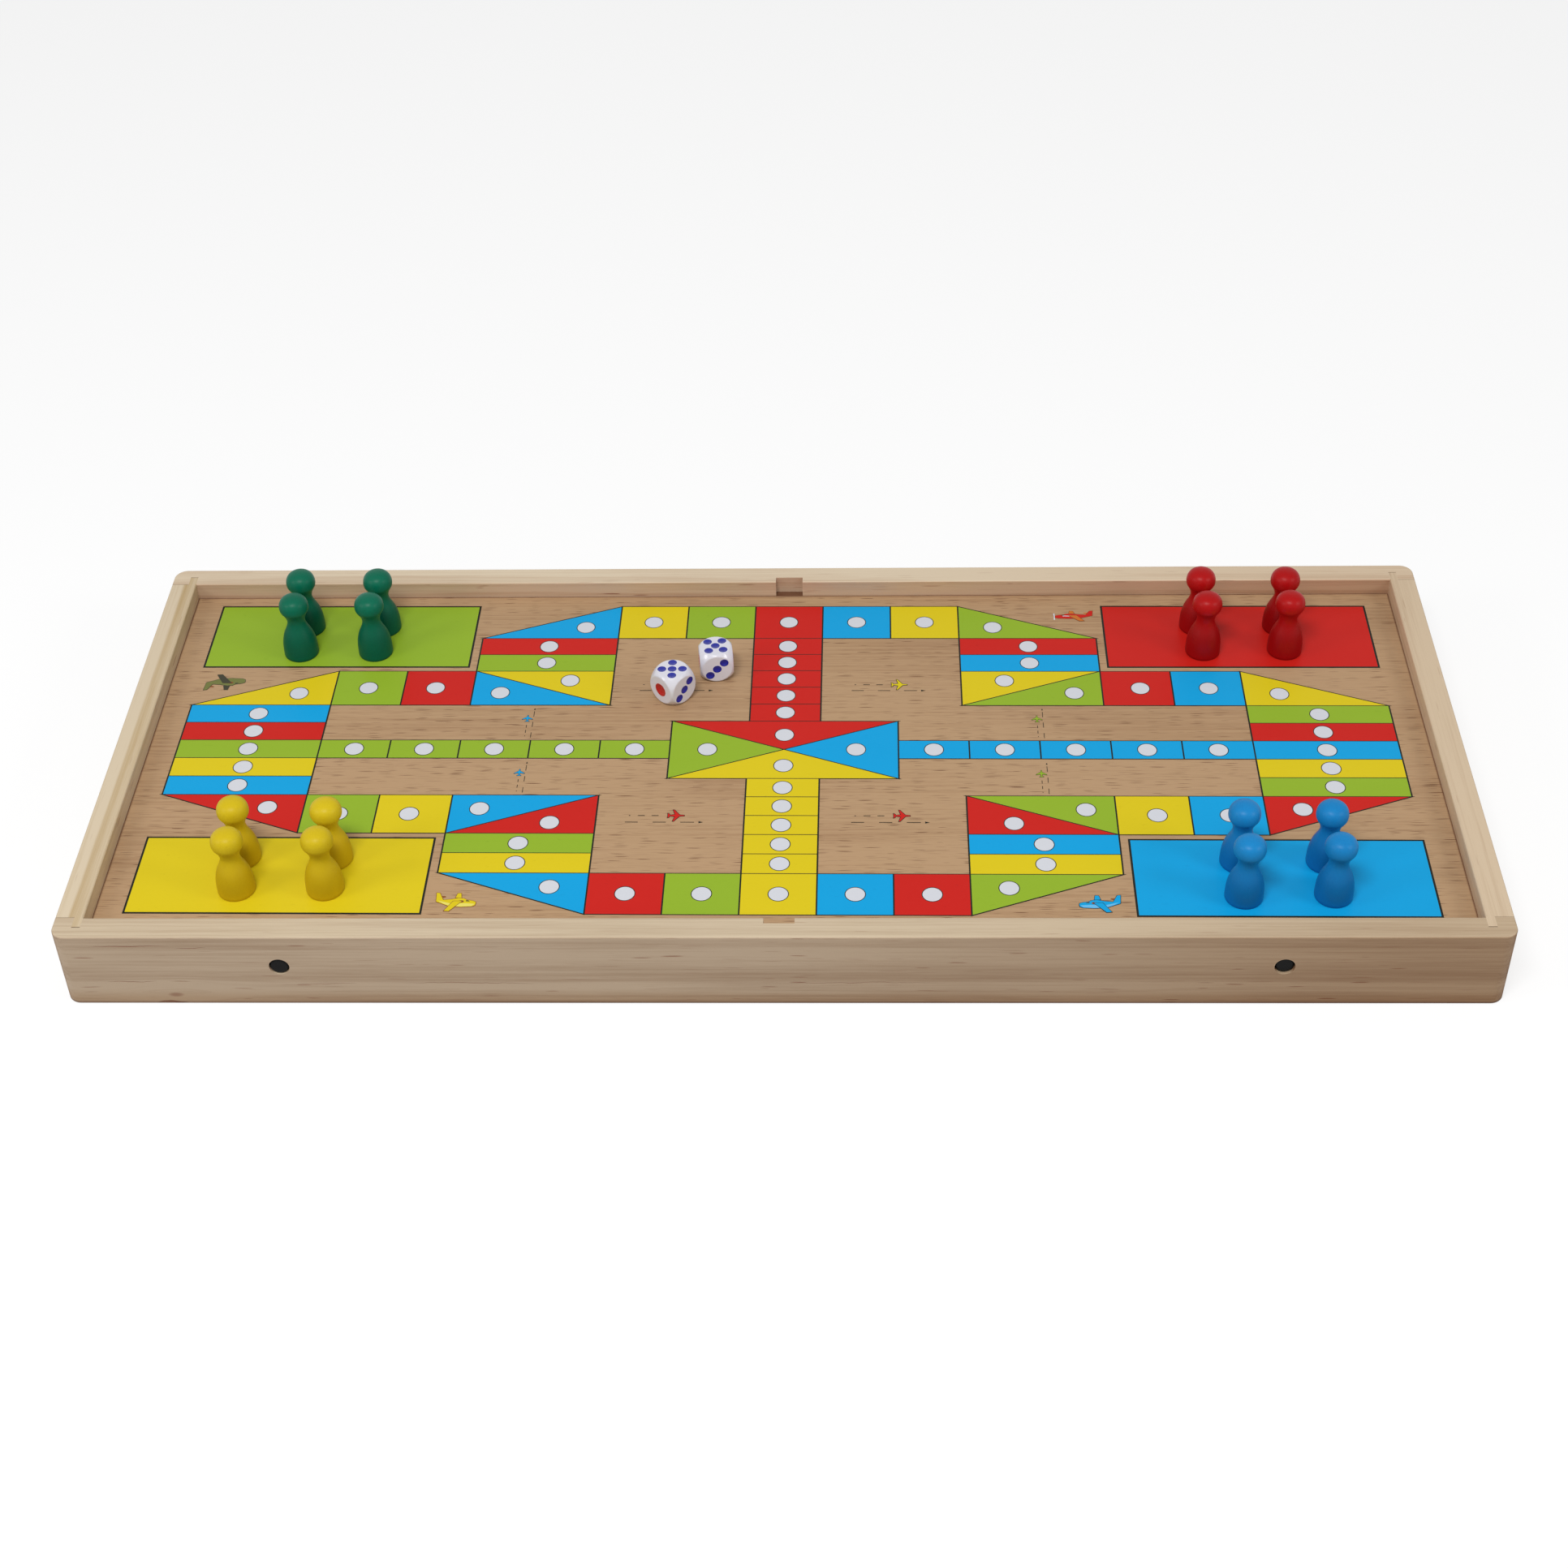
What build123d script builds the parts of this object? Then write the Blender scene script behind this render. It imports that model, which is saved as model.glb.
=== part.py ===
"""Two-sided wooden game tray: a printed race board on top, an elastic sling court underneath.

All sizes are in millimetres. The tray stands on z = 0 with the printed side up, +X runs along
its length and +Y to the back. The origin is the middle of the footprint.
"""
from build123d import *
import os

# Driving dimensions of the tray.
LENGTH = 560.0
WIDTH = 240.0
HEIGHT = 36.0
RAIL_THICKNESS = 11.0
CORNER_RADIUS = 5.5
EDGE_ROUNDING = 0.7

# Plywood panel that the four rails hold in a groove.
PANEL_THICKNESS = 3.0
RECESS_DEPTH = 7.8
GROOVE_DEPTH = 4.6
GROOVE_CLEARANCE = 0.3

# Tongue on each end of a short rail, and the notches that take the divider.
TONGUE_THICKNESS = 3.4
TONGUE_DEPTH = 5.5
TONGUE_END_GAP = 0.2
NOTCH_WIDTH = 12.0
NOTCH_DEPTH = 3.3

# Removable divider with its gate, on the sling side.
DIVIDER_CLEARANCE = 0.25
DIVIDER_EDGE_ROUNDING = 0.8
GATE_CLEARANCE = 6.0
GATE_HEADROOM = 5.0
GATE_CORNER_RADIUS = 3.0

# Elastic cords, their holes and the stops that hold their ends.
CORD_DIAMETER = 3.0
CORD_HOLE_CLEARANCE = 0.4
CORD_FROM_END = 75.7
CORD_BELOW_PANEL = 5.0
COUNTERBORE_DIAMETER = 8.0
COUNTERBORE_DEPTH = 4.5
STOP_CLEARANCE = 0.4
STOP_RIM_ROUNDING = 1.1
FLUSH_STOP_LENGTH = 4.3
RECESSED_STOP_LENGTH = 3.7

# Sling pucks, parked behind the cords.
PUCK_DIAMETER = 28.0
PUCK_THICKNESS = 8.0
PUCK_EDGE_ROUNDING = 1.2
PUCK_DISH_DIAMETER = 18.0
PUCK_DISH_DEPTH = 0.6
PUCK_PARK_GAP = 0.3
PUCKS_PER_SIDE = 5

# Printed race track: a lattice of 17 by 17 units inside the tray. The print sits a touch off
# the middle and is turned by a fraction of a degree.
PRINT_MARGIN_X = 12.6
PRINT_MARGIN_Y = 8.8
PRINT_UNITS = 17
PRINT_SHIFT_X = -0.4
PRINT_SHIFT_Y = 0.6
PRINT_TURN = -0.33
INK_THICKNESS = 0.1
ACROSS_LINE_WIDTH = 0.65
ALONG_LINE_WIDTH = 0.4
HOME_LINE_WIDTH = 0.85
DISC_DIAMETER = 7.7
DISC_RING_WIDTH = 0.35
HOME_GAP_X = 3.8
HOME_GAP_Y = 3.0

# Turned wooden pawns.
PAWN_HEIGHT = 30.7
PAWN_RADIUS = 7.5
PAWN_FOOT_ROUNDING = 0.3
PAWN_BELLY_HEIGHT = 2.6
PAWN_WAIST_RADIUS = 5.93
PAWN_WAIST_HEIGHT = 12.0
PAWN_NECK_RADIUS = 3.9
PAWN_NECK_HEIGHT = 18.0
PAWN_CHEEK_RADIUS = 5.26
PAWN_CHEEK_HEIGHT = 22.2
PAWN_HEAD_RADIUS = 6.35
PAWN_HEAD_HEIGHT = 25.3
PAWN_COLUMN_GAP = 20.1
PAWN_ROW_GAP = 3.5
PAWN_NUDGE = 0.9

# End slope of the pawn's crown. At 1.657 it would be a quarter of an ellipse, and more is flatter.
CROWN_SHARE = 1.95

# Dice: a cube trimmed by a sphere, with dimples for the pips.
DIE_SIZE = 14.5
DIE_SPHERE_SHARE = 0.672
DIE_SOFTENING = 0.9
PIP_DIAMETER = 3.4
PIP_DEPTH = 0.45
SINGLE_PIP_DIAMETER = 5.8
SINGLE_PIP_DEPTH = 0.75
PIP_SPREAD_SHARE = 0.215

# Extra length of every cutting tool past the face that it opens.
OVERRUN = 1.0

# Places that follow from the sizes above.
INNER_LENGTH = LENGTH - 2 * RAIL_THICKNESS
INNER_WIDTH = WIDTH - 2 * RAIL_THICKNESS
PANEL_TOP = HEIGHT - RECESS_DEPTH
PANEL_BOTTOM = PANEL_TOP - PANEL_THICKNESS
PANEL_LENGTH = INNER_LENGTH + 2 * (GROOVE_DEPTH - GROOVE_CLEARANCE)
PANEL_WIDTH = INNER_WIDTH + 2 * (GROOVE_DEPTH - GROOVE_CLEARANCE)
CORD_X = LENGTH / 2 - RAIL_THICKNESS - CORD_FROM_END
CORD_Z = PANEL_BOTTOM - CORD_BELOW_PANEL
INK_TOP = PANEL_TOP + INK_THICKNESS
GATE_WIDTH = PUCK_DIAMETER + GATE_CLEARANCE
GATE_HEIGHT = PUCK_THICKNESS + GATE_HEADROOM
UNIT_X = (INNER_LENGTH - 2 * PRINT_MARGIN_X) / PRINT_UNITS
UNIT_Y = (INNER_WIDTH - 2 * PRINT_MARGIN_Y) / PRINT_UNITS

# Lattice lines of the race track, in units from its middle. A wide cell spans two units.
WIDE_CELL_UNITS = 2
EDGE = PRINT_UNITS / 2
ARM = EDGE - WIDE_CELL_UNITS
BEND = ARM - WIDE_CELL_UNITS
WING = BEND - WIDE_CELL_UNITS
HALF = WING - WIDE_CELL_UNITS
CENTRE_REACH_SHARE = 1.59
HOME_LANE_CELLS = 5

# Where a disc sits in a triangular cell, as shares of its two legs from the square corner. The
# bend squares hold a centre-side and a home-side triangle each. A disc in the middle square is
# given as a share of the square's reach.
EDGE_DISC_SHARES = (0.25, 0.34)
CENTRE_SIDE_DISC_SHARES = (0.31, 0.28)
HOME_SIDE_DISC_SHARES = (0.20, 0.36)
MIDDLE_DISC_SHARES = {"red": 0.51, "yellow": 0.56, "green": 0.67, "blue": 0.63}

# How far the discs of the two cells beside each bend sit towards the tray's end, in lattice
# units: the outer cell's first.
ROW_DISC_SHIFTS = (0.015, 0.045)

# Corner homes by colour, as their sides along X and Y, and each group's shift as shares of
# its home rectangle.
HOMES = {
    "green": (-1, 1),
    "red": (1, 1),
    "yellow": (-1, -1),
    "blue": (1, -1),
}
GROUP_SHIFT_SHARES = {
    "green": (0.0025, -0.034),
    "red": (0.0124, -0.063),
    "yellow": (0.0085, 0.040),
    "blue": (0.0013, -0.044),
}

# Small unevenness of each pawn's place, as shares of the nudge.
PAWN_SPOTS = {
    "front_left": (-1, -1),
    "front_right": (1, -1),
    "back_left": (-1, 1),
    "back_right": (1, 1),
}
NUDGE_SHARES = {
    "green": ((0.8, 0.3), (-1.6, 0.5), (0.9, -0.4), (-0.2, -0.5)),
    "red": ((-0.1, 0.4), (0.4, 0.7), (-1.1, -0.3), (0.5, -0.8)),
    "yellow": ((0.0, 0.2), (0.1, 0.5), (-1.3, 0.2), (0.9, -0.7)),
    "blue": ((0.2, -1.0), (-0.1, -0.3), (0.6, 0.8), (-0.7, 0.5)),
}

# Dice: place in lattice units and turn about the vertical, in degrees.
DICE = {
    "left_die": (-1.598, 3.10, 46.0),
    "right_die": (-1.008, 4.47, 7.0),
}

# Pips of each face as shares of the pip spread, in the face's own plane.
FIVE_SHARES = ((0, 0), (1, 1), (1, -1), (-1, 1), (-1, -1))
FOUR_SHARES = ((1, 1), (1, -1), (-1, 1), (-1, -1))
SIX_SHARES = ((1, 1), (1, 0), (1, -1), (-1, 1), (-1, 0), (-1, -1))
THREE_SHARES = ((0, 0), (1, 1), (-1, -1))
TWO_SHARES = ((1, 1), (-1, -1))


def block(length, width, height, x=0, y=0, z=0):
    """A box with its middle at x and y and its underside at z."""
    box = Box(length, width, height, align=(Align.CENTER, Align.CENTER, Align.MIN))
    return Pos(x, y, z) * box


def rod(diameter, length, x, y, z):
    """A round bar along Y, centred on the given point."""
    return Pos(x, y, z) * Rot(90, 0, 0) * Cylinder(diameter / 2, length)


def frame_blank():
    """The glued and sanded frame as one ring, with its edges eased."""
    ring = RectangleRounded(LENGTH, WIDTH, CORNER_RADIUS) - Rectangle(INNER_LENGTH, INNER_WIDTH)
    solid = extrude(ring, HEIGHT)
    faces = [solid.faces().sort_by(Axis.Z)[0], solid.faces().sort_by(Axis.Z)[-1]]
    edges = [edge for face in faces for edge in face.edges()]
    return fillet(edges, EDGE_ROUNDING)


def panel_space():
    """The groove all round that holds the panel."""
    length = PANEL_LENGTH + 2 * GROOVE_CLEARANCE
    width = PANEL_WIDTH + 2 * GROOVE_CLEARANCE
    return block(length, width, PANEL_THICKNESS, z=PANEL_BOTTOM)


def tongue(side_x, side_y, length):
    """The tongue of a short rail at one corner, flush with the rail's inner face."""
    x = side_x * (INNER_LENGTH + TONGUE_THICKNESS) / 2
    y = side_y * (INNER_WIDTH + length) / 2
    return block(TONGUE_THICKNESS, length, HEIGHT, x, y)


def cord_hole(side_x, side_y):
    """A cord hole through a long rail with its counterbore on the outside."""
    x = side_x * CORD_X
    middle = side_y * (WIDTH - RAIL_THICKNESS) / 2
    hole = rod(CORD_DIAMETER + CORD_HOLE_CLEARANCE, RAIL_THICKNESS + 2 * OVERRUN, x, middle, CORD_Z)
    bore_middle = side_y * (WIDTH / 2 + (OVERRUN - COUNTERBORE_DEPTH) / 2)
    bore = rod(COUNTERBORE_DIAMETER, COUNTERBORE_DEPTH + OVERRUN, x, bore_middle, CORD_Z)
    return hole + bore


def long_rail(blank, side_y):
    """The front or back rail, full length, with groove, dados, notch and cord holes."""
    rail = blank & block(LENGTH, RAIL_THICKNESS, HEIGHT, y=side_y * (WIDTH - RAIL_THICKNESS) / 2)
    rail -= panel_space()
    for side_x in (-1, 1):
        rail -= tongue(side_x, side_y, TONGUE_DEPTH)
        rail -= cord_hole(side_x, side_y)
    notch_middle = side_y * (INNER_WIDTH + NOTCH_DEPTH) / 2
    rail -= block(NOTCH_WIDTH, NOTCH_DEPTH, HEIGHT, y=notch_middle)
    return rail.solid()


def short_rail(blank, side_x):
    """The left or right rail between the long ones, with a tongue at each end."""
    rail = blank & block(RAIL_THICKNESS, INNER_WIDTH, HEIGHT, x=side_x * (LENGTH - RAIL_THICKNESS) / 2)
    for side_y in (-1, 1):
        rail += tongue(side_x, side_y, TONGUE_DEPTH - TONGUE_END_GAP)
    rail -= panel_space()
    return rail.solid()


def divider():
    """The removable board across the sling court, with a gate on the panel side."""
    thickness = NOTCH_WIDTH - 2 * DIVIDER_CLEARANCE
    width = INNER_WIDTH + 2 * (NOTCH_DEPTH - DIVIDER_CLEARANCE)
    height = PANEL_BOTTOM - DIVIDER_CLEARANCE
    board = block(thickness, width, height)
    board = fillet(board.edges().filter_by(Axis.Y), DIVIDER_EDGE_ROUNDING)
    gate = block(thickness + 2 * OVERRUN, GATE_WIDTH, GATE_HEIGHT + OVERRUN, z=height - GATE_HEIGHT)
    lower = gate.edges().filter_by(Axis.X).group_by(Axis.Z)[0]
    return (board - fillet(lower, GATE_CORNER_RADIUS)).solid()


def cord(side_x):
    """A taut elastic cord from the front counterbore to the back one."""
    return rod(CORD_DIAMETER, WIDTH - 2 * COUNTERBORE_DEPTH, side_x * CORD_X, 0, CORD_Z)


def cord_stop(side_x, side_y, length):
    """A soft black plug on a cord's end, seated on the counterbore's floor."""
    y = side_y * (WIDTH / 2 - COUNTERBORE_DEPTH + length / 2)
    plug = rod(COUNTERBORE_DIAMETER - STOP_CLEARANCE, length, side_x * CORD_X, y, CORD_Z)
    outer = plug.faces().sort_by(Axis.Y)[-1 if side_y > 0 else 0]
    return fillet(outer.edges(), STOP_RIM_ROUNDING).solid()


def puck(side_x, lane):
    """One sling puck on the table, parked against the end rail in its lane."""
    x = side_x * (INNER_LENGTH / 2 - PUCK_PARK_GAP - PUCK_DIAMETER / 2)
    y = (lane - (PUCKS_PER_SIDE - 1) / 2) * INNER_WIDTH / PUCKS_PER_SIDE
    disc = Cylinder(PUCK_DIAMETER / 2, PUCK_THICKNESS, align=(Align.CENTER, Align.CENTER, Align.MIN))
    disc = fillet(disc.edges().filter_by(GeomType.CIRCLE), PUCK_EDGE_ROUNDING)
    for z in (0, PUCK_THICKNESS - PUCK_DISH_DEPTH):
        disc -= Pos(0, 0, z) * Cylinder(
            PUCK_DISH_DIAMETER / 2, PUCK_DISH_DEPTH, align=(Align.CENTER, Align.CENTER, Align.MIN)
        )
    return (Pos(x, y, 0) * disc).solid()


def turned_pawn():
    """One pawn standing on z = 0: a bell-shaped body, a slim neck and a slightly flat head."""
    up = (0, 1)
    foot_x = PAWN_RADIUS - PAWN_FOOT_ROUNDING
    foot = Line((0, 0), (foot_x, 0))
    base = Spline((foot_x, 0), (PAWN_RADIUS, PAWN_BELLY_HEIGHT), tangents=[(1, 1), up])
    body = Spline(
        (PAWN_RADIUS, PAWN_BELLY_HEIGHT),
        (PAWN_WAIST_RADIUS, PAWN_WAIST_HEIGHT),
        (PAWN_NECK_RADIUS, PAWN_NECK_HEIGHT),
        (PAWN_CHEEK_RADIUS, PAWN_CHEEK_HEIGHT),
        (PAWN_HEAD_RADIUS, PAWN_HEAD_HEIGHT),
        tangents=[up, up],
    )
    rise = PAWN_HEIGHT - PAWN_HEAD_HEIGHT
    reach = Vector(PAWN_HEAD_RADIUS, rise).length
    head = Spline(
        (PAWN_HEAD_RADIUS, PAWN_HEAD_HEIGHT),
        (0, PAWN_HEIGHT),
        tangents=[up, (-1, 0)],
        tangent_scalars=[CROWN_SHARE * rise / reach, CROWN_SHARE * PAWN_HEAD_RADIUS / reach],
    )
    axis = Line((0, PAWN_HEIGHT), (0, 0))
    profile = make_face(foot + base + body + head + axis)
    return revolve(Plane.XZ * profile, Axis.Z)


def lattice_point(x, y):
    """A point of the print's lattice, in millimetres."""
    return PRINT_SHIFT_X + x * UNIT_X, PRINT_SHIFT_Y + y * UNIT_Y


def home_rectangle(colour):
    """Middle and size of a corner home, in millimetres."""
    side_x, side_y = HOMES[colour]
    low_x, high_x = BEND * UNIT_X + HOME_GAP_X, EDGE * UNIT_X
    low_y, high_y = BEND * UNIT_Y + HOME_GAP_Y, EDGE * UNIT_Y
    middle_x = PRINT_SHIFT_X + side_x * (low_x + high_x) / 2
    middle_y = PRINT_SHIFT_Y + side_y * (low_y + high_y) / 2
    return (middle_x, middle_y), (high_x - low_x, high_y - low_y)


def pawn_place(colour, index, spot):
    """Where one pawn stands in its home, in millimetres."""
    (home_x, home_y), (size_x, size_y) = home_rectangle(colour)
    shift_x, shift_y = GROUP_SHIFT_SHARES[colour]
    nudge_x, nudge_y = NUDGE_SHARES[colour][index]
    side_x, side_y = PAWN_SPOTS[spot]
    x = home_x + shift_x * size_x + side_x * (PAWN_RADIUS + PAWN_COLUMN_GAP / 2)
    y = home_y + shift_y * size_y + side_y * (PAWN_RADIUS + PAWN_ROW_GAP / 2)
    return x + nudge_x * PAWN_NUDGE, y + nudge_y * PAWN_NUDGE


def dimple(diameter, depth):
    """A ball that leaves a round dimple of this diameter and depth in the face at z = 0."""
    radius = (diameter * diameter / 4 + depth * depth) / (2 * depth)
    return Pos(0, 0, radius - depth) * Sphere(radius)


def rounded_die():
    """One die about the origin: five on top, three in front, one on the left."""
    half = DIE_SIZE / 2
    die = Box(DIE_SIZE, DIE_SIZE, DIE_SIZE) & Sphere(DIE_SIZE * DIE_SPHERE_SHARE)
    die = fillet(die.edges().filter_by(GeomType.CIRCLE), DIE_SOFTENING)
    spread = DIE_SIZE * PIP_SPREAD_SHARE
    faces = (
        (Rot(0, 0, 0), FIVE_SHARES),
        (Rot(180, 0, 0), TWO_SHARES),
        (Rot(90, 0, 0), THREE_SHARES),
        (Rot(-90, 0, 0), FOUR_SHARES),
        (Rot(0, 90, 0), SIX_SHARES),
    )
    for turn, shares in faces:
        for share_x, share_y in shares:
            place = Pos(share_x * spread, share_y * spread, half)
            die -= turn * place * dimple(PIP_DIAMETER, PIP_DEPTH)
    die -= Rot(0, -90, 0) * Pos(0, 0, half) * dimple(SINGLE_PIP_DIAMETER, SINGLE_PIP_DEPTH)
    return die


def rectangle_cell(colour, x0, x1, y0, y1, disc_shift=0):
    """A four-cornered cell in lattice units, with its disc in the middle or beside it along X."""
    disc = ((x0 + x1) / 2 + disc_shift, (y0 + y1) / 2)
    return colour, ((x0, y0), (x1, y0), (x1, y1), (x0, y1)), disc


def triangle_cell(colour, corner, reach_x, reach_y, shares):
    """A right-angled cell in lattice units: square corner, two signed legs and its disc's shares."""
    x, y = corner
    disc = (x + shares[0] * reach_x, y + shares[1] * reach_y)
    return colour, (corner, (x + reach_x, y), (x, y + reach_y)), disc


def track_cells():
    """Every cell of the race track and home lanes, in lattice units."""
    cells = []
    for index, colour in enumerate(("yellow", "green", "red", "blue", "yellow")):
        cells.append(rectangle_cell(colour, index - WING, index - WING + 1, ARM, EDGE))
    for index, colour in enumerate(("red", "green", "yellow", "blue", "red")):
        cells.append(rectangle_cell(colour, index - WING, index - WING + 1, -EDGE, -ARM))
    for index, colour in enumerate(("blue", "red", "green", "yellow", "blue")):
        cells.append(rectangle_cell(colour, -EDGE, -ARM, WING - index - 1, WING - index))
    for index, colour in enumerate(("green", "red", "blue", "yellow", "green")):
        cells.append(rectangle_cell(colour, ARM, EDGE, WING - index - 1, WING - index))
    stacks = (
        (-1, 1, ("red", "green")),
        (1, 1, ("red", "blue")),
        (-1, -1, ("yellow", "green")),
        (1, -1, ("yellow", "blue")),
    )
    for side_x, side_y, colours in stacks:
        for index, colour in enumerate(colours):
            y0, y1 = side_y * (ARM - index - 1), side_y * (ARM - index)
            x0, x1 = side_x * WING, side_x * BEND
            cells.append(rectangle_cell(colour, min(x0, x1), max(x0, x1), min(y0, y1), max(y0, y1)))
    rows = (
        (-1, 1, ("green", "red")),
        (1, 1, ("blue", "red")),
        (-1, -1, ("green", "yellow")),
        (1, -1, ("blue", "yellow")),
    )
    for side_x, side_y, colours in rows:
        for index, colour in enumerate(colours):
            x0, x1 = side_x * (ARM - index - 1), side_x * (ARM - index)
            y0, y1 = side_y * WING, side_y * BEND
            shift = side_x * ROW_DISC_SHIFTS[index]
            cells.append(
                rectangle_cell(colour, min(x0, x1), max(x0, x1), min(y0, y1), max(y0, y1), shift)
            )
    edge_triangles = (
        ("blue", -WING, ARM, -1, 1),
        ("green", WING, ARM, 1, 1),
        ("yellow", -ARM, WING, -1, 1),
        ("yellow", ARM, WING, 1, 1),
        ("red", -ARM, -WING, -1, -1),
        ("red", ARM, -WING, 1, -1),
        ("blue", -WING, -ARM, -1, -1),
        ("green", WING, -ARM, 1, -1),
    )
    centre_side_triangles = (
        ("yellow", -WING, BEND, -1, -1),
        ("yellow", WING, BEND, 1, -1),
        ("red", -WING, -BEND, -1, 1),
        ("red", WING, -BEND, 1, 1),
    )
    home_side_triangles = (
        ("blue", -BEND, WING, 1, 1),
        ("green", BEND, WING, -1, 1),
        ("blue", -BEND, -WING, 1, -1),
        ("green", BEND, -WING, -1, -1),
    )
    sorts = (
        (edge_triangles, EDGE_DISC_SHARES),
        (centre_side_triangles, CENTRE_SIDE_DISC_SHARES),
        (home_side_triangles, HOME_SIDE_DISC_SHARES),
    )
    for triangles, shares in sorts:
        for colour, x, y, sign_x, sign_y in triangles:
            reach_x, reach_y = sign_x * WIDE_CELL_UNITS, sign_y * WIDE_CELL_UNITS
            cells.append(triangle_cell(colour, (x, y), reach_x, reach_y, shares))
    return cells + lane_cells() + centre_cells()


def lane_cells():
    """The home lanes of five cells on each side of the centre, in lattice units."""
    cells = []
    pitch = (ARM - CENTRE_REACH_SHARE) / HOME_LANE_CELLS
    for index in range(HOME_LANE_CELLS):
        near = CENTRE_REACH_SHARE + index * pitch
        far = near + pitch
        cells.append(rectangle_cell("red", -HALF, HALF, near, far))
        cells.append(rectangle_cell("yellow", -HALF, HALF, -far, -near))
        cells.append(rectangle_cell("green", -far, -near, -HALF, HALF))
        cells.append(rectangle_cell("blue", near, far, -HALF, HALF))
    return cells


def centre_cells():
    """The four triangles that meet in the middle, in lattice units."""
    c = CENTRE_REACH_SHARE
    far = {colour: share * c for colour, share in MIDDLE_DISC_SHARES.items()}
    return [
        ("red", ((0, 0), (c, c), (-c, c)), (0, far["red"])),
        ("yellow", ((0, 0), (-c, -c), (c, -c)), (0, -far["yellow"])),
        ("green", ((0, 0), (-c, c), (-c, -c)), (-far["green"], 0)),
        ("blue", ((0, 0), (c, -c), (c, c)), (far["blue"], 0)),
    ]


def moved_outline(corners, sense, across, along):
    """A flat shape with each side moved by half its line's width, out for 1 and in for -1.

    The line is as wide as `across` on a side that runs along Y and as `along` on one along X.
    """
    points = [Vector(x, y) for x, y in corners]
    following = points[1:] + points[:1]
    area = sum(here.X * there.Y - there.X * here.Y for here, there in zip(points, following))
    turn = sense if area > 0 else -sense
    sides = []
    for here, there in zip(points, following):
        way = (there - here).normalized()
        shift = turn * (along + (across - along) * abs(way.Y)) / 2
        sides.append((here + Vector(way.Y, -way.X) * shift, way))
    moved = []
    for (first, first_way), (second, second_way) in zip(sides[-1:] + sides[:-1], sides):
        gap = second - first
        reach = gap.cross(second_way).Z / first_way.cross(second_way).Z
        moved.append(first + first_way * reach)
    return make_face(Polyline(moved, close=True))


def ink(sketch):
    """A flat print of the ink's thickness on the panel."""
    return Pos(0, 0, PANEL_TOP) * Rot(0, 0, PRINT_TURN) * extrude(sketch, INK_THICKNESS)


def print_inks():
    """The printed track as one group of thin solids for each ink."""
    inks = {name: [] for name in ("green", "red", "yellow", "blue", "white", "dark")}
    edges = []
    fields = []
    ring_radius = DISC_DIAMETER / 2 + DISC_RING_WIDTH
    for colour, points, disc in track_cells():
        corners = [lattice_point(x, y) for x, y in points]
        field = moved_outline(corners, -1, ACROSS_LINE_WIDTH, ALONG_LINE_WIDTH)
        place = Pos(*lattice_point(*disc))
        inks[colour].append(ink(field - place * Circle(ring_radius)))
        inks["white"].append(ink(place * Circle(DISC_DIAMETER / 2)))
        inks["dark"].append(ink(place * Circle(ring_radius) - place * Circle(DISC_DIAMETER / 2)))
        edges.append(moved_outline(corners, 1, ACROSS_LINE_WIDTH, ALONG_LINE_WIDTH))
        fields.append(field)
    for colour in HOMES:
        (x, y), (size_x, size_y) = home_rectangle(colour)
        field = Pos(x, y) * Rectangle(size_x - HOME_LINE_WIDTH, size_y - HOME_LINE_WIDTH)
        inks[colour].append(ink(field))
        edges.append(Pos(x, y) * Rectangle(size_x + HOME_LINE_WIDTH, size_y + HOME_LINE_WIDTH))
        fields.append(field)
    net = Sketch() + edges - fields
    inks["dark"].append(ink(net))
    return inks


def save(shape, name):
    """Write one named sub-part to its own file."""
    export_step(shape, f"parts/{name}.step")


def solids_of(shapes):
    """One compound that holds every solid of the given shapes."""
    return Compound(children=[solid for shape in shapes for solid in shape.solids()])


os.makedirs("parts", exist_ok=True)

blank = frame_blank()
save(long_rail(blank, -1), "front_rail")
save(long_rail(blank, 1), "back_rail")
save(short_rail(blank, -1), "left_rail")
save(short_rail(blank, 1), "right_rail")
save(block(PANEL_LENGTH, PANEL_WIDTH, PANEL_THICKNESS, z=PANEL_BOTTOM), "game_panel")
save(divider(), "divider")

for ink_name, layers in print_inks().items():
    save(solids_of(layers), f"print_{ink_name}")

for side, side_x in (("left", -1), ("right", 1)):
    save(cord(side_x), f"{side}_cord")
    front_stop = FLUSH_STOP_LENGTH if side_x < 0 else RECESSED_STOP_LENGTH
    save(cord_stop(side_x, -1, front_stop), f"{side}_front_cord_stop")
    save(cord_stop(side_x, 1, RECESSED_STOP_LENGTH), f"{side}_back_cord_stop")
    for lane in range(PUCKS_PER_SIDE):
        save(puck(side_x, lane), f"{side}_puck_{lane + 1}")

pawn = turned_pawn()
for colour in HOMES:
    for index, spot in enumerate(PAWN_SPOTS):
        x, y = pawn_place(colour, index, spot)
        save((Pos(x, y, INK_TOP) * pawn).solid(), f"{colour}_pawn_{spot}")

die = rounded_die()
for name, (unit_x, unit_y, turn) in DICE.items():
    place = Pos(*lattice_point(unit_x, unit_y), PANEL_TOP + DIE_SIZE / 2)
    save((place * Rot(0, 0, turn) * die).solid(), name)
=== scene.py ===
"""Looks of a two-sided wooden game tray: a printed race board on top, an elastic sling court below.

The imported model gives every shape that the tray's makers cut, turn or mould. This script
gives each of them its finish and adds the small printed marks, the painted pips of the dice
and the elastic cords. Lengths in the classes are millimetres; meshes are in metres.
"""
from __future__ import annotations

import logging
import math
from dataclasses import dataclass, field
from enum import Enum
from typing import ClassVar, Mapping, Optional, Sequence, Union

import bmesh
import bpy
from mathutils import Matrix, Vector


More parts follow.
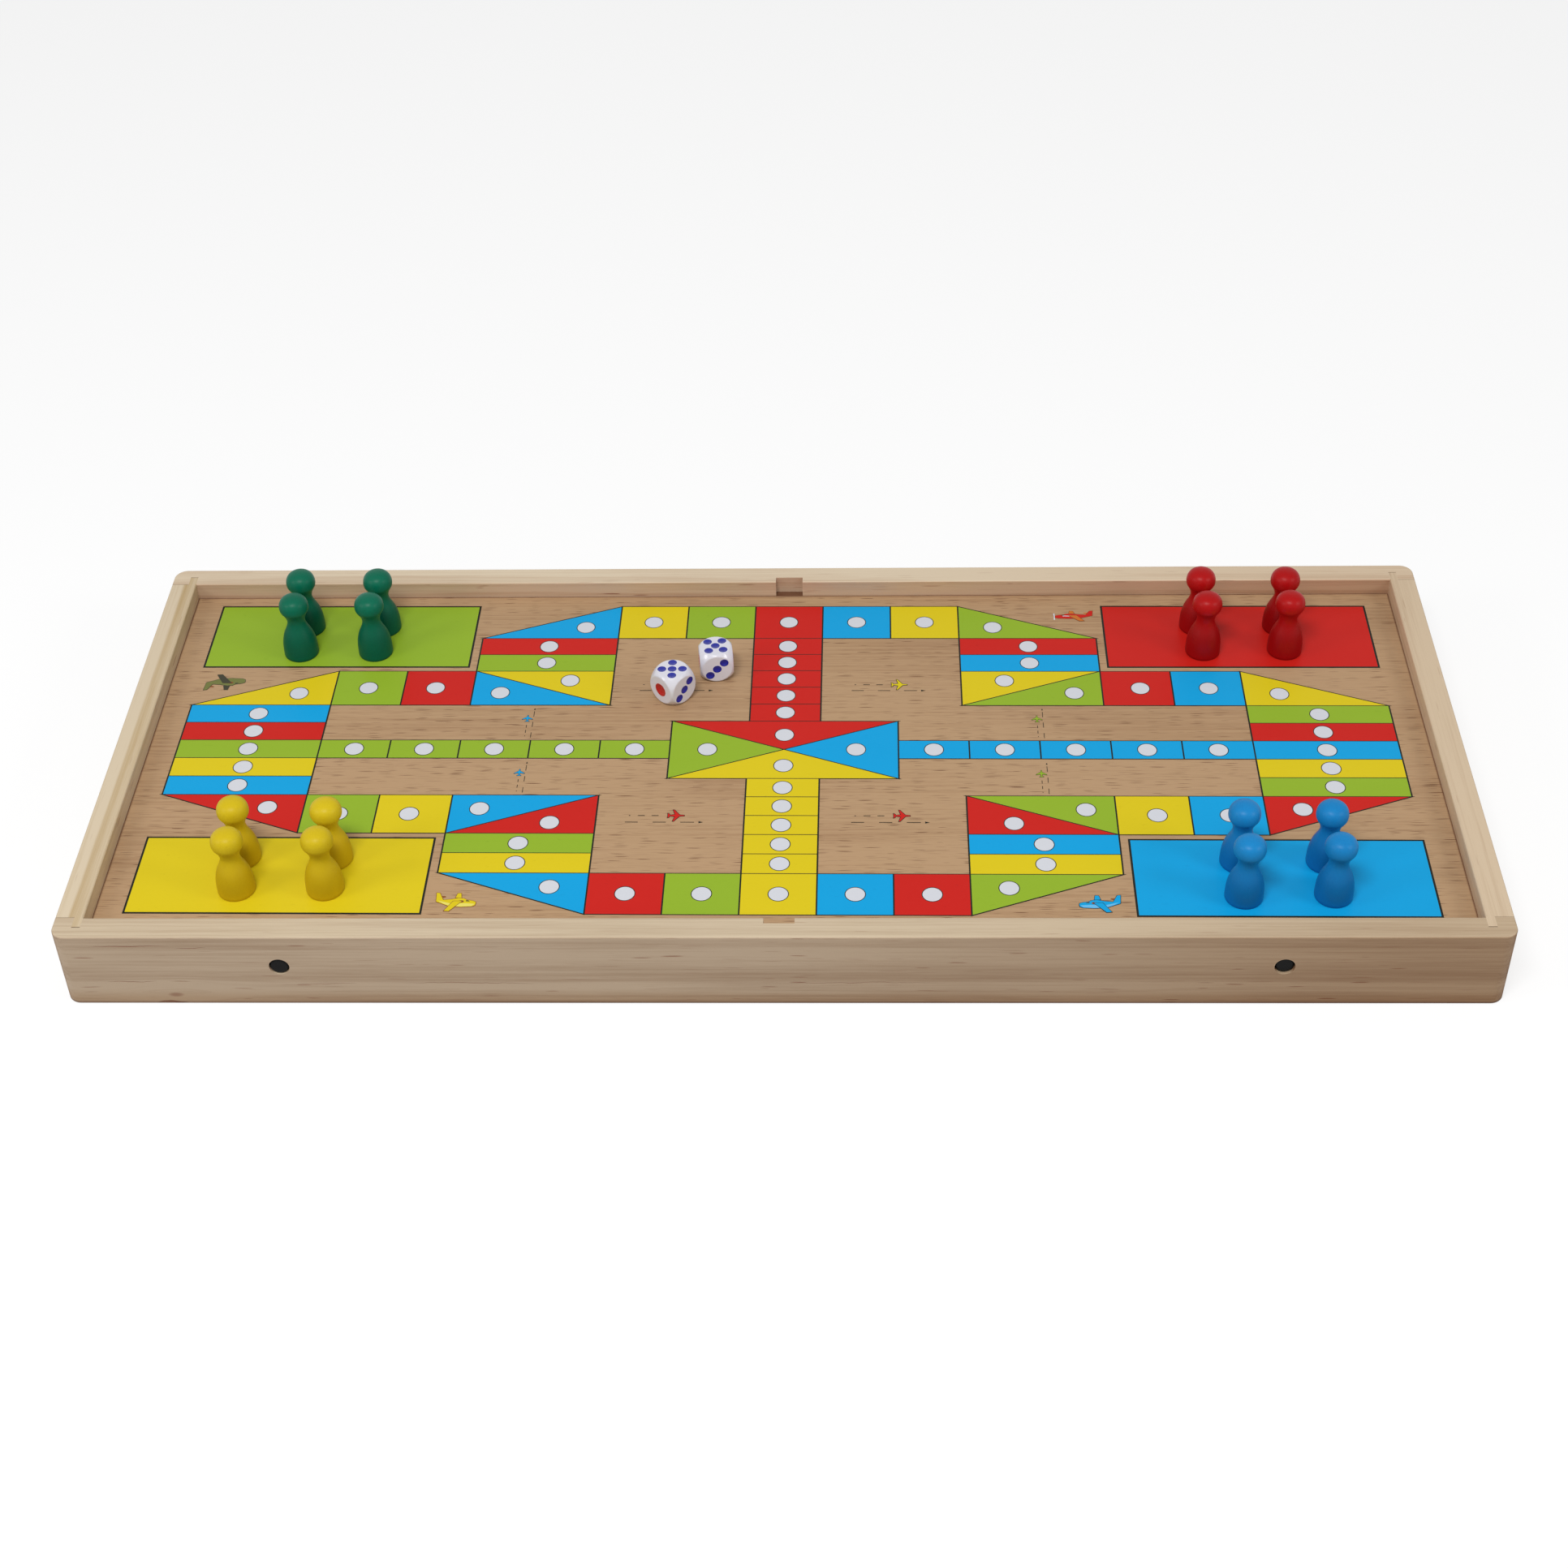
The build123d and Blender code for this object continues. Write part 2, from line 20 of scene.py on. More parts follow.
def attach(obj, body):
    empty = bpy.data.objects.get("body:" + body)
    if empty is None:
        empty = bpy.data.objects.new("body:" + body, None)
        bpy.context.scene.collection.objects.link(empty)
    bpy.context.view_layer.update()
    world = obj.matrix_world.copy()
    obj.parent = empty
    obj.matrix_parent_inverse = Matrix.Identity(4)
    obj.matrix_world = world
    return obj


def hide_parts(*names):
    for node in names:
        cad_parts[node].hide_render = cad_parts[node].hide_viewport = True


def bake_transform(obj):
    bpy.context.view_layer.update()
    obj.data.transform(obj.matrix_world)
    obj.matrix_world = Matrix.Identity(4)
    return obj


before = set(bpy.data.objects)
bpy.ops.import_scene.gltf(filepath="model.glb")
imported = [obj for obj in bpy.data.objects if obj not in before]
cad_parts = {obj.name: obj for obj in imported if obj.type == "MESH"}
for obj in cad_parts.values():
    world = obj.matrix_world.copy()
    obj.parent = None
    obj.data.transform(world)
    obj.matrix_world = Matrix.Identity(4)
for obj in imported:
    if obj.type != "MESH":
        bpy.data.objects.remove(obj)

LOG = logging.getLogger("game_tray")
MM = 0.001

Shape = bmesh.types.BMesh
Material = bpy.types.Material
Outputs = bpy.types.NodeOutputs
Socket = bpy.types.NodeSocket
Fed = Union[float, int, Sequence[float], Socket]
Colour = tuple[float, float, float, float]
Point = tuple[float, float]
Triple = tuple[float, float, float]
Outline = tuple[Point, ...]


def tone(red: int, green: int, blue: int) -> Colour:
    """Turn a colour as seen on screen into the linear one that a shader takes.

    Args:
        red: Red from 0 to 255.
        green: Green from 0 to 255.
        blue: Blue from 0 to 255.

    Returns:
        Linear red, green and blue with a full alpha.
    """
    shares = [channel / 255 for channel in (red, green, blue)]
    linear = [s / 12.92 if s <= 0.04045 else ((s + 0.055) / 1.055) ** 2.4 for s in shares]
    return (*linear, 1.0)


class Kind(Enum):
    """Socket kinds that the shared effects take and give."""

    NUMBER = "NodeSocketFloat"
    VECTOR = "NodeSocketVector"
    COLOUR = "NodeSocketColor"


Ports = tuple[tuple[str, Kind], ...]


class Grain(Enum):
    """Which way the wood fibres of a piece run, as a turn about the vertical in radians."""

    ALONG_TRAY = 0.0
    ACROSS_TRAY = -math.pi / 2


class Side(Enum):
    """The two ends of the sling court, as signs along X."""

    LEFT = -1
    RIGHT = 1


class NodeDesk:
    """Adds nodes to one tree and wires them, one call to a node."""

    # Spread and least value of a dash's size and of its strength, and where its tip fades out.
    dash_size: ClassVar[Point] = (0.8, 0.45)
    dash_strength: ClassVar[Point] = (0.75, 0.25)
    dash_tip: ClassVar[Point] = (0.0, 0.55)
    noise_roughness: ClassVar[float] = 0.55

    def __init__(self, tree: bpy.types.NodeTree) -> None:
        """Keep the tree that the nodes go into."""
        self.tree = tree

    def add(self, kind: str, inputs: Mapping[Union[str, int], Fed], **settings: object) -> bpy.types.Node:
        """Add a node with its settings and inputs.

        Args:
            kind: Blender's name of the node type.
            inputs: Values or sockets for the node's inputs, by name or number.
            **settings: Properties of the node itself.

        Returns:
            The new node.
        """
        node = self.tree.nodes.new(kind)
        for name, value in settings.items():
            setattr(node, name, value)
        for key, value in inputs.items():
            if isinstance(value, Socket):
                self.tree.links.new(value, node.inputs[key])
            else:
                node.inputs[key].default_value = value
        return node

    def math(self, operation: str, *values: Fed, clamp: bool = False) -> Socket:
        """Combine numbers with one math operation and return the result's socket."""
        inputs = dict(enumerate(values))
        return self.add("ShaderNodeMath", inputs, operation=operation, use_clamp=clamp).outputs[0]

    def times(self, first: Fed, second: Fed) -> Socket:
        """Multiply two numbers."""
        return self.math("MULTIPLY", first, second)

    def size_of(self, value: Fed) -> Socket:
        """Drop a number's sign."""
        return self.math("ABSOLUTE", value)

    def swing(self, value: Fed) -> Socket:
        """Shift a value from between 0 and 1 to between -0.5 and 0.5."""
        return self.math("SUBTRACT", value, 0.5)

    def vector(self, operation: str, *values: Fed) -> Socket:
        """Combine vectors with one operation and return the result's vector socket."""
        return self.add("ShaderNodeVectorMath", dict(enumerate(values)), operation=operation).outputs[0]

    def measure(self, operation: str, *values: Fed) -> Socket:
        """Measure vectors with one operation and return the result's number socket."""
        return self.add("ShaderNodeVectorMath", dict(enumerate(values)), operation=operation).outputs["Value"]

    def split(self, vector: Fed) -> Outputs:
        """Take a vector apart into its X, Y and Z sockets."""
        return self.add("ShaderNodeSeparateXYZ", {0: vector}).outputs

    def gather(self, parts: Mapping[int, Fed]) -> Socket:
        """Put a vector together from its parts, by the number of their axis."""
        return self.add("ShaderNodeCombineXYZ", parts).outputs[0]

    def millimetres(self, vector: Socket) -> Socket:
        """Turn coordinates in metres into millimetres.

        Args:
            vector: The coordinates in metres.

        Returns:
            The same in millimetres.
        """
        scaled = self.vector("SCALE", vector)
        scaled.node.inputs["Scale"].default_value = 1 / MM
        return scaled

    def noise(self, vector: Socket, stretch: Sequence[float], detail: float = 2.0) -> Socket:
        """Give soft noise whose cells are stretched by the given scale along each axis.

        Args:
            vector: Coordinates in millimetres.
            stretch: Cells to the millimetre along X, Y and Z.
            detail: How many finer layers the noise has.

        Returns:
            A socket from about 0 to 1.
        """
        scaled = self.vector("MULTIPLY", vector, tuple(stretch))
        inputs = {"Vector": scaled, "Scale": 1.0, "Detail": detail, "Roughness": self.noise_roughness}
        return self.add("ShaderNodeTexNoise", inputs).outputs["Fac"]

    def remap(self, value: Fed, old: Point, new: Point = (0.0, 1.0)) -> Socket:
        """Ease a value from one range into another, clamped at both ends.

        Args:
            value: The number to carry over.
            old: Its lowest and highest value.
            new: What these become.

        Returns:
            The eased number.
        """
        inputs = {"Value": value, 1: old[0], 2: old[1], 3: new[0], 4: new[1]}
        return self.add("ShaderNodeMapRange", inputs, interpolation_type="SMOOTHSTEP").outputs[0]

    def mix(self, share: Fed, first: Fed, second: Fed, blend: str = "MIX") -> Socket:
        """Blend two colours.

        Args:
            share: How much of the second colour there is, from 0 to 1.
            first: The colour at a share of 0.
            second: The colour at a share of 1.
            blend: Blender's name of the blend.

        Returns:
            The blended colour.
        """
        inputs = {0: share, 6: first, 7: second}
        settings = {"data_type": "RGBA", "blend_type": blend, "clamp_factor": True}
        return self.add("ShaderNodeMix", inputs, **settings).outputs[2]

    def tint(self, share: Fed, colour: Socket, by: Colour) -> Socket:
        """Multiply a colour by another, by a share."""
        return self.mix(share, colour, self.mix(1.0, colour, by, "MULTIPLY"))

    def dashes(self, place: Socket, length: Fed, height: Fed, presence: Fed, size: float = 0.42) -> Socket:
        """Scatter short dashes along X, each tapered at both ends and of its own strength.

        Args:
            place: Coordinates in millimetres.
            length: Room for one dash along X, in millimetres.
            height: Room for one dash across.
            presence: Share of the rooms that hold a dash.
            size: Half the dash as a share of its room.

        Returns:
            A mask from 0 to 1.
        """
        cell = self.vector("DIVIDE", place, self.gather({0: length, 1: height, 2: height}))
        spot = self.add("ShaderNodeTexVoronoi", {"Vector": cell, "Scale": 1.0, "Randomness": 1.0}).outputs
        lots = self.add("ShaderNodeSeparateColor", {0: spot["Color"]}).outputs
        reach = self.times(self.math("MULTIPLY_ADD", lots["Green"], *self.dash_size), size)
        near = self.math("SUBTRACT", 1.0, self.math("DIVIDE", spot["Distance"], reach), clamp=True)
        there = self.math("LESS_THAN", lots["Red"], presence)
        strength = self.times(self.math("MULTIPLY_ADD", lots["Blue"], *self.dash_strength), there)
        return self.times(self.remap(near, self.dash_tip), strength)

    def bump(self, height: Fed, depth: float) -> Socket:
        """Turn a height from 0 to 1 into a normal, with the full height's depth in millimetres."""
        inputs = {"Height": height, "Distance": depth * MM, "Strength": 1.0}
        return self.add("ShaderNodeBump", inputs).outputs["Normal"]


def spaced(values: Mapping[str, Fed]) -> dict[str, Fed]:
    """Turn the underscores of input names into spaces."""
    return {name.replace("_", " "): value for name, value in values.items()}


def ports(kind: Kind, *names: str) -> Ports:
    """Pair each of the names with one kind of socket."""
    return tuple((name, kind) for name in names)


class SharedEffect:
    """A node group that several finishes use, built the first time it is placed."""

    title: ClassVar[str] = ""
    takes: ClassVar[Ports] = ()
    gives: ClassVar[Ports] = (*ports(Kind.COLOUR, "Color"), *ports(Kind.NUMBER, "Roughness", "Height"))

    @classmethod
    def wire(cls, desk: NodeDesk, given: Mapping[str, Socket]) -> Mapping[str, Socket]:
        """Build the effect's own nodes and return the socket for each output."""
        raise NotImplementedError

    @classmethod
    def tree(cls) -> bpy.types.NodeTree:
        """Build the effect's node group, unless an earlier material has done so.

        Returns:
            The node group.
        """
        found = bpy.data.node_groups.get(cls.title)
        if found is not None:
            return found
        tree = bpy.data.node_groups.new(cls.title, "ShaderNodeTree")
        for way, sockets in (("INPUT", cls.takes), ("OUTPUT", cls.gives)):
            for name, kind in sockets:
                tree.interface.new_socket(name=name, in_out=way, socket_type=kind.value)
        desk = NodeDesk(tree)
        given = desk.add("NodeGroupInput", {}).outputs
        desk.add("NodeGroupOutput", dict(cls.wire(desk, given)))
        return tree

    @classmethod
    def place(cls, desk: NodeDesk, **values: Fed) -> Outputs:
        """Place the effect in a material.

        Args:
            desk: The material's desk.
            **values: Inputs by name, with an underscore for each space.

        Returns:
            The outputs of the placed group.
        """
        return desk.add("ShaderNodeGroup", spaced(values), node_tree=cls.tree()).outputs


class TimberGrain(SharedEffect):
    """Solid wood: growth rings about a pith line, fibres, streaks and short dark ticks."""

    title = "timber_grain"
    takes = (
        *ports(Kind.VECTOR, "Vector", "Pith"),
        *ports(Kind.NUMBER, "Seed", "Ring Pitch", "Ring Share", "Wander", "Streak Share", "Cloud Share"),
        *ports(Kind.NUMBER, "Tick Share", "Tick Length", "Tick Height", "Tick Presence", "End Grain"),
        *ports(Kind.COLOUR, "Pale", "Late", "Tick"),
    )
    seed_shift: ClassVar[Triple] = (137.0, 31.0, 59.0)
    faint_shift: ClassVar[Triple] = (41.0, 17.0, 23.0)

    # Noise cells to the millimetre along the grain and across it.
    drift_cells: ClassVar[Triple] = (0.0035, 0.022, 0.022)
    ripple_cells: ClassVar[Triple] = (0.02, 0.12, 0.12)
    streak_cells: ClassVar[Triple] = (0.009, 0.75, 0.75)
    fibre_cells: ClassVar[Triple] = (0.06, 3.6, 3.6)
    cloud_cells: ClassVar[Triple] = (0.006, 0.035, 0.035)
    bend_cells: ClassVar[Triple] = (0.03, 0.2, 0.2)

    # Where in a year's ring the late wood comes and goes, and how strong each year's is.
    late_rise: ClassVar[Point] = (0.1, 0.86)
    late_end: ClassVar[Point] = (1.0, 0.88)
    year_strength: ClassVar[Point] = (0.45, 1.0)

    bend_height: ClassVar[float] = 1.6
    faint_scales: ClassVar[Triple] = (1.3, 0.8, 2.6)
    faint_share: ClassVar[float] = 0.35
    fibre_share: ClassVar[float] = 0.5
    end_grain_share: ClassVar[float] = 0.55
    plain_roughness: ClassVar[float] = 0.42
    tick_roughness: ClassVar[float] = 0.15
    fibre_roughness: ClassVar[float] = 0.16
    end_grain_roughness: ClassVar[float] = 0.12
    tick_depth: ClassVar[float] = 0.6

    @classmethod
    def wire(cls, desk: NodeDesk, given: Mapping[str, Socket]) -> Mapping[str, Socket]:
        """Build rings, streaks, fibres and ticks, and blend the three wood tones by them.

        Args:
            desk: The group's desk.
            given: The group's inputs.

        Returns:
            The socket for each output, by its name.
        """
        place = desk.millimetres(given["Vector"])
        offset = desk.gather({axis: given["Seed"] for axis in range(3)})
        own = desk.vector("ADD", place, desk.vector("MULTIPLY", offset, cls.seed_shift))

        drift = desk.swing(desk.noise(own, cls.drift_cells))
        drift = desk.times(drift, desk.times(given["Wander"], 2.0))
        ripple = desk.swing(desk.noise(own, cls.ripple_cells))
        across = desk.vector("MULTIPLY", desk.vector("SUBTRACT", place, given["Pith"]), (0.0, 1.0, 1.0))
        radius = desk.math("ADD", desk.math("ADD", desk.measure("LENGTH", across), drift), ripple)
        turns = desk.math("DIVIDE", radius, given["Ring Pitch"])
        phase = desk.math("FRACT", turns)
        late = desk.times(desk.remap(phase, cls.late_rise), desk.remap(phase, cls.late_end))
        year = desk.add("ShaderNodeTexWhiteNoise", {"W": desk.math("FLOOR", turns)}, noise_dimensions="1D")
        late = desk.times(late, desk.remap(year.outputs["Value"], (0.0, 1.0), cls.year_strength))

        streak = desk.noise(own, cls.streak_cells, 3.0)
        fibre = desk.noise(own, cls.fibre_cells, 2.0)
        cloud = desk.noise(own, cls.cloud_cells, 1.0)
        bend = desk.times(desk.swing(desk.noise(own, cls.bend_cells, 1.0)), cls.bend_height)
        bent = desk.vector("ADD", own, desk.gather({1: bend, 2: bend}))
        sizes = [given[f"Tick {name}"] for name in ("Length", "Height", "Presence")]
        tick = desk.dashes(bent, *sizes)
        aside = desk.vector("ADD", bent, cls.faint_shift)
        scaled = [desk.times(value, by) for value, by in zip(sizes, cls.faint_scales)]
        faint = desk.dashes(aside, *scaled)
        tick = desk.math("MULTIPLY_ADD", faint, cls.faint_share, tick, clamp=True)
        tick = desk.times(tick, given["Tick Share"])

        share = desk.times(late, given["Ring Share"])
        for pattern, weight in ((streak, "Streak Share"), (cloud, "Cloud Share")):
            share = desk.math("ADD", share, desk.times(desk.times(desk.swing(pattern), given[weight]), 2.0))
        share = desk.math("ADD", share, desk.times(desk.swing(fibre), cls.fibre_share))
        share = desk.math("ADD", share, desk.times(given["End Grain"], cls.end_grain_share), clamp=True)
        wood = desk.mix(tick, desk.mix(share, given["Pale"], given["Late"]), given["Tick"])

        rough = desk.math("MULTIPLY_ADD", tick, cls.tick_roughness, cls.plain_roughness)
        rough = desk.math("MULTIPLY_ADD", fibre, cls.fibre_roughness, rough)
        rough = desk.math("MULTIPLY_ADD", given["End Grain"], cls.end_grain_roughness, rough)
        relief = desk.math("MULTIPLY_ADD", streak, 0.5, desk.times(fibre, 0.5))
        relief = desk.math("SUBTRACT", relief, desk.times(tick, cls.tick_depth))
        return {"Color": wood, "Roughness": rough, "Height": relief}


class Hairline(SharedEffect):
    """One dark check or scratch along the grain, tapered at both ends."""

    title = "hairline"
    takes = (*ports(Kind.VECTOR, "Vector", "Middle"), *ports(Kind.NUMBER, "Half Length", "Thickness"))
    gives = ports(Kind.NUMBER, "Mask")
    wave_cells: ClassVar[Triple] = (0.09, 0.01, 0.01)
    wave_height: ClassVar[float] = 2.2
    depth_fade: ClassVar[Point] = (3.0, 2.0)
    softness: ClassVar[float] = 0.6

    @classmethod
    def wire(cls, desk: NodeDesk, given: Mapping[str, Socket]) -> Mapping[str, Socket]:
        """Measure the distance to a slightly wavy line and taper it towards its ends.

        Args:
            desk: The group's desk.
            given: The group's inputs.

        Returns:
            The socket for each output, by its name.
        """
        place = desk.millimetres(given["Vector"])
        local = desk.split(desk.vector("SUBTRACT", place, given["Middle"]))
        along = desk.math("DIVIDE", desk.size_of(local["X"]), given["Half Length"])
        taper = desk.math("SUBTRACT", 1.0, desk.times(along, along), clamp=True)
        wave = desk.swing(desk.noise(place, cls.wave_cells, 3.0))
        off = desk.size_of(desk.math("MULTIPLY_ADD", wave, cls.wave_height, local["Z"]))
        width = desk.math("MAXIMUM", desk.times(given["Thickness"], taper), 0.001)
        mask = desk.math("SUBTRACT", 1.0, desk.math("DIVIDE", off, width), clamp=True)
        near = desk.remap(desk.size_of(local["Y"]), cls.depth_fade)
        return {"Mask": desk.times(desk.math("POWER", mask, cls.softness), near)}


class FilmTexture(SharedEffect):
    """An even film of ink, paint or plastic: mottling, fine grain and a few dust specks."""

    title = "film_texture"
    takes = (
        *ports(Kind.VECTOR, "Vector", "Stretch"),
        *ports(Kind.COLOUR, "Film", "Shade"),
        *ports(Kind.NUMBER, "Mottle Share", "Speck Share", "Sheen Roughness"),
    )
    broad_cells: ClassVar[float] = 0.045
    fine_cells: ClassVar[float] = 1.6
    peel_cells: ClassVar[float] = 0.55
    speck_cells: ClassVar[float] = 0.9
    speck_edge: ClassVar[Point] = (0.70, 0.78)
    plain_share: ClassVar[float] = 0.25
    broad_roughness: ClassVar[float] = 0.12
    fine_roughness: ClassVar[float] = 0.05
    fine_height: ClassVar[float] = 0.35
    peel_height: ClassVar[float] = 0.65

    @classmethod
    def wire(cls, desk: NodeDesk, given: Mapping[str, Socket]) -> Mapping[str, Socket]:
        """Layer broad mottling, a fine grain and specks into colour, gloss and height.

        Args:
            desk: The group's desk.
            given: The group's inputs.

        Returns:
            The socket for each output, by its name.
        """
        place = desk.vector("MULTIPLY", desk.millimetres(given["Vector"]), given["Stretch"])
        broad = desk.noise(place, (cls.broad_cells,) * 3, 3.0)
        fine = desk.noise(place, (cls.fine_cells,) * 3, 2.0)
        orange_peel = desk.noise(place, (cls.peel_cells,) * 3, 1.0)
        speck = desk.remap(desk.noise(place, (cls.speck_cells,) * 3, 1.0), cls.speck_edge)
        swing = desk.math("SUBTRACT", desk.math("MULTIPLY_ADD", fine, 0.6, broad), 0.8)
        share = desk.math("MULTIPLY_ADD", swing, given["Mottle Share"], cls.plain_share)
        share = desk.math("MULTIPLY_ADD", speck, given["Speck Share"], share, clamp=True)
        rough = desk.math("MULTIPLY_ADD", desk.swing(broad), cls.broad_roughness, given["Sheen Roughness"])
        rough = desk.math("MULTIPLY_ADD", fine, cls.fine_roughness, rough, clamp=True)
        height = desk.math("MULTIPLY_ADD", fine, cls.fine_height, desk.times(orange_peel, cls.peel_height))
        return {"Color": desk.mix(share, given["Film"], given["Shade"]), "Roughness": rough, "Height": height}


class EdgeRub(SharedEffect):
    """A mask of the eased edges of a piece, where hands rub it smooth and wood gets a painted highlight."""

    title = "edge_rub"
    takes = (*ports(Kind.VECTOR, "Vector"), *ports(Kind.NUMBER, "Reach"))
    gives = ports(Kind.NUMBER, "Mask")
    samples: ClassVar[int] = 4
    turn_away: ClassVar[Point] = (0.995, 0.86)
    worn_cells: ClassVar[float] = 0.08
    worn_edge: ClassVar[Point] = (0.35, 0.7)

    @classmethod
    def wire(cls, desk: NodeDesk, given: Mapping[str, Socket]) -> Mapping[str, Socket]:
        """Compare the shape's normal with one rounded over the reach, broken up by noise.

        Args:
            desk: The group's desk.
            given: The group's inputs.

        Returns:
            The socket for each output, by its name.
        """
        reach = desk.times(given["Reach"], MM)
        round_normal = desk.add("ShaderNodeBevel", {"Radius": reach}, samples=cls.samples).outputs[0]
        flat_normal = desk.add("ShaderNodeNewGeometry", {}).outputs["Normal"]
        edge = desk.remap(desk.measure("DOT_PRODUCT", round_normal, flat_normal), cls.turn_away)
        place = desk.millimetres(given["Vector"])
        worn = desk.remap(desk.noise(place, (cls.worn_cells,) * 3, 3.0), cls.worn_edge)
        return {"Mask": desk.times(edge, worn)}


def new_material(name: str) -> tuple[Material, NodeDesk, Socket]:
    """Start a material.

    Args:
        name: The material's name.

    Returns:
        The material, a desk for its nodes, and the object coordinates in metres.
    """
    material = bpy.data.materials.new(name)
    material.use_nodes = True
    material.node_tree.nodes.clear()
    desk = NodeDesk(material.node_tree)
    return material, desk, desk.add("ShaderNodeTexCoord", {}).outputs["Object"]


def close_material(desk: NodeDesk, **inputs: Fed) -> None:
    """End a material with its surface shader.

    Args:
        desk: The material's desk.
        **inputs: Values or sockets for the surface shader, with an underscore for each space.
    """
    surface = desk.add("ShaderNodeBsdfPrincipled", spaced(inputs))
    desk.add("ShaderNodeOutputMaterial", {"Surface": surface.outputs[0]})


@dataclass(frozen=True)
class Check:
    """A dark check in the wood: its middle in the piece's own grain axes, and its size."""

    middle: Triple
    half_length: float
    thickness: float


@dataclass(frozen=True)
class Knot:
    """A small knot near the surface that the grain bends round: its place, reach and pull."""

    middle: Triple
    reach: tuple[float, float]
    pull: float


@dataclass(frozen=True)
class Seam:
    """A dark joint line across a rail's end: its distance along Y, and where it starts along X."""

    place: float
    start: float
    strength: float
    width: float = 0.3


@dataclass(frozen=True)
class WoodFinish:
    """Clear-lacquered wood, cut so that its rings run about a pith line."""

    pale: Colour
    late: Colour
    tick: Colour
    grain: Grain = Grain.ALONG_TRAY
    seed: float = 0.0
    pith: Triple = (0.0, 0.0, -90.0)
    ring_pitch: float = 11.0
    ring_share: float = 0.5
    wander: float = 4.0
    streak_share: float = 0.5
    cloud_share: float = 0.4
    tick_share: float = 0.85
    tick_length: float = 16.0
    tick_height: float = 1.5
    tick_presence: float = 0.1
    relief: float = 0.06
    gloss: float = 0.12
    rub_reach: float = 0.9
    # Painted shade on the upright faces, which sit darker than the tops where less light falls.
    upright_shade_tint: Colour = (1.0, 1.0, 1.0, 1.0)
    # A darker right end: partly the wood's own tone, partly painted shade where less light falls.
    right_end_tone_and_shade: Colour = (1.0, 1.0, 1.0, 1.0)
    flat_tick_share: float = 1.0
    # Strength of the painted contact shadow on the upright faces near the table.
    painted_foot_shadow: float = 0.0
    checks: tuple[Check, ...] = ()
    knot: Optional[Knot] = None
    seams: tuple[Seam, ...] = ()
    # Painted shadow in the gap where the panel meets the rails' walls: the walls' distance along X and Y.
    wall_shadow_line: Optional[Point] = None

    grain_inputs: ClassVar[tuple[str, ...]] = (
        "seed", "pith", "ring_pitch", "ring_share", "wander", "streak_share", "cloud_share",
        "tick_length", "tick_height", "tick_presence", "pale", "late", "tick",
    )
    # How far a face is turned where it counts as end grain or as upright, and where the right end's
    # darker tint, partly the wood's own tone and partly painted shade, begins and ends along X in metres.
    end_turn: ClassVar[Point] = (0.55, 0.9)
    side_turn: ClassVar[Point] = (0.75, 0.45)
    right_span: ClassVar[Point] = (-0.05, 0.28)
    right_shares: ClassVar[Point] = (0.5, 1.0)
    seam_dark: ClassVar[Colour] = tone(84, 56, 40)
    # Colour, reach and strength of the painted shadow in the gap at the rails' walls.
    wall_shadow_colour: ClassVar[Colour] = tone(84, 44, 30)
    wall_shadow_reach: ClassVar[float] = 0.9
    wall_shadow_strength: ClassVar[float] = 0.8
    # Worn edges are lightened towards the pale wood: partly wear, partly a painted highlight.
    wear_and_highlight_paleness: ClassVar[float] = 0.3
    rub_polish: ClassVar[float] = 0.12
    # Painted contact shadow on the upright faces near the table: each band's top, bottom, strength and tint.
    painted_foot_shadow_bands: ClassVar[tuple[tuple[float, float, float, Colour], ...]] = (
        (9.0, 2.0, 0.8, (0.8, 0.7, 0.6, 1.0)),
        (2.0, 0.2, 1.0, (0.42, 0.34, 0.36, 1.0)),
    )

    def material(self, name: str) -> Material:
        """Build the finish as a material.

        Args:
            name: The material's name.

        Returns:
            The material.
        """
        material, desk, coordinates = new_material(name)
        turn = {"Vector": coordinates, "Rotation": (0, 0, self.grain.value)}
        vector = desk.add("ShaderNodeMapping", turn).outputs[0]
        along = (1.0, 0.0, 0.0) if self.grain is Grain.ALONG_TRAY else (0.0, 1.0, 0.0)
        normal = desk.add("ShaderNodeTexCoord", {}).outputs["Normal"]
        end_grain = desk.remap(desk.size_of(desk.measure("DOT_PRODUCT", normal, along)), self.end_turn)
        side = desk.remap(desk.size_of(desk.split(normal)["Z"]), self.side_turn)
        tick_share = desk.remap(side, (0.0, 1.0), (self.tick_share * self.flat_tick_share, self.tick_share))
        core, bent = self.bend(desk, vector, self.knot) if self.knot else (0.0, vector)
        own = {entry.title(): getattr(self, entry) for entry in self.grain_inputs}
        wood = TimberGrain.place(desk, Vector=bent, Tick_Share=tick_share, End_Grain=end_grain, **own)
        colour, height = wood["Color"], wood["Height"]
        if self.knot:
            colour = desk.mix(core, colour, self.tick)
        for check in self.checks:
            sizes = {"Half_Length": check.half_length, "Thickness": check.thickness}
            crack = Hairline.place(desk, Vector=vector, Middle=check.middle, **sizes)["Mask"]
            colour = desk.mix(crack, colour, self.tick)
            height = desk.math("SUBTRACT", height, crack)
        colour = self.shaded(desk, colour, desk.split(coordinates), side)
        # The edge mask lightens the colour, partly wear and partly a painted highlight, and lowers the
        # roughness.
        rub = EdgeRub.place(desk, Vector=coordinates, Reach=self.rub_reach)["Mask"]
        close_material(
            desk,
            Base_Color=desk.mix(desk.times(rub, self.wear_and_highlight_paleness), colour, self.pale),
            Roughness=desk.math("SUBTRACT", wood["Roughness"], desk.times(rub, self.rub_polish)),
            Normal=desk.bump(height, self.relief),
            Specular_IOR_Level=self.gloss,
        )
        return material

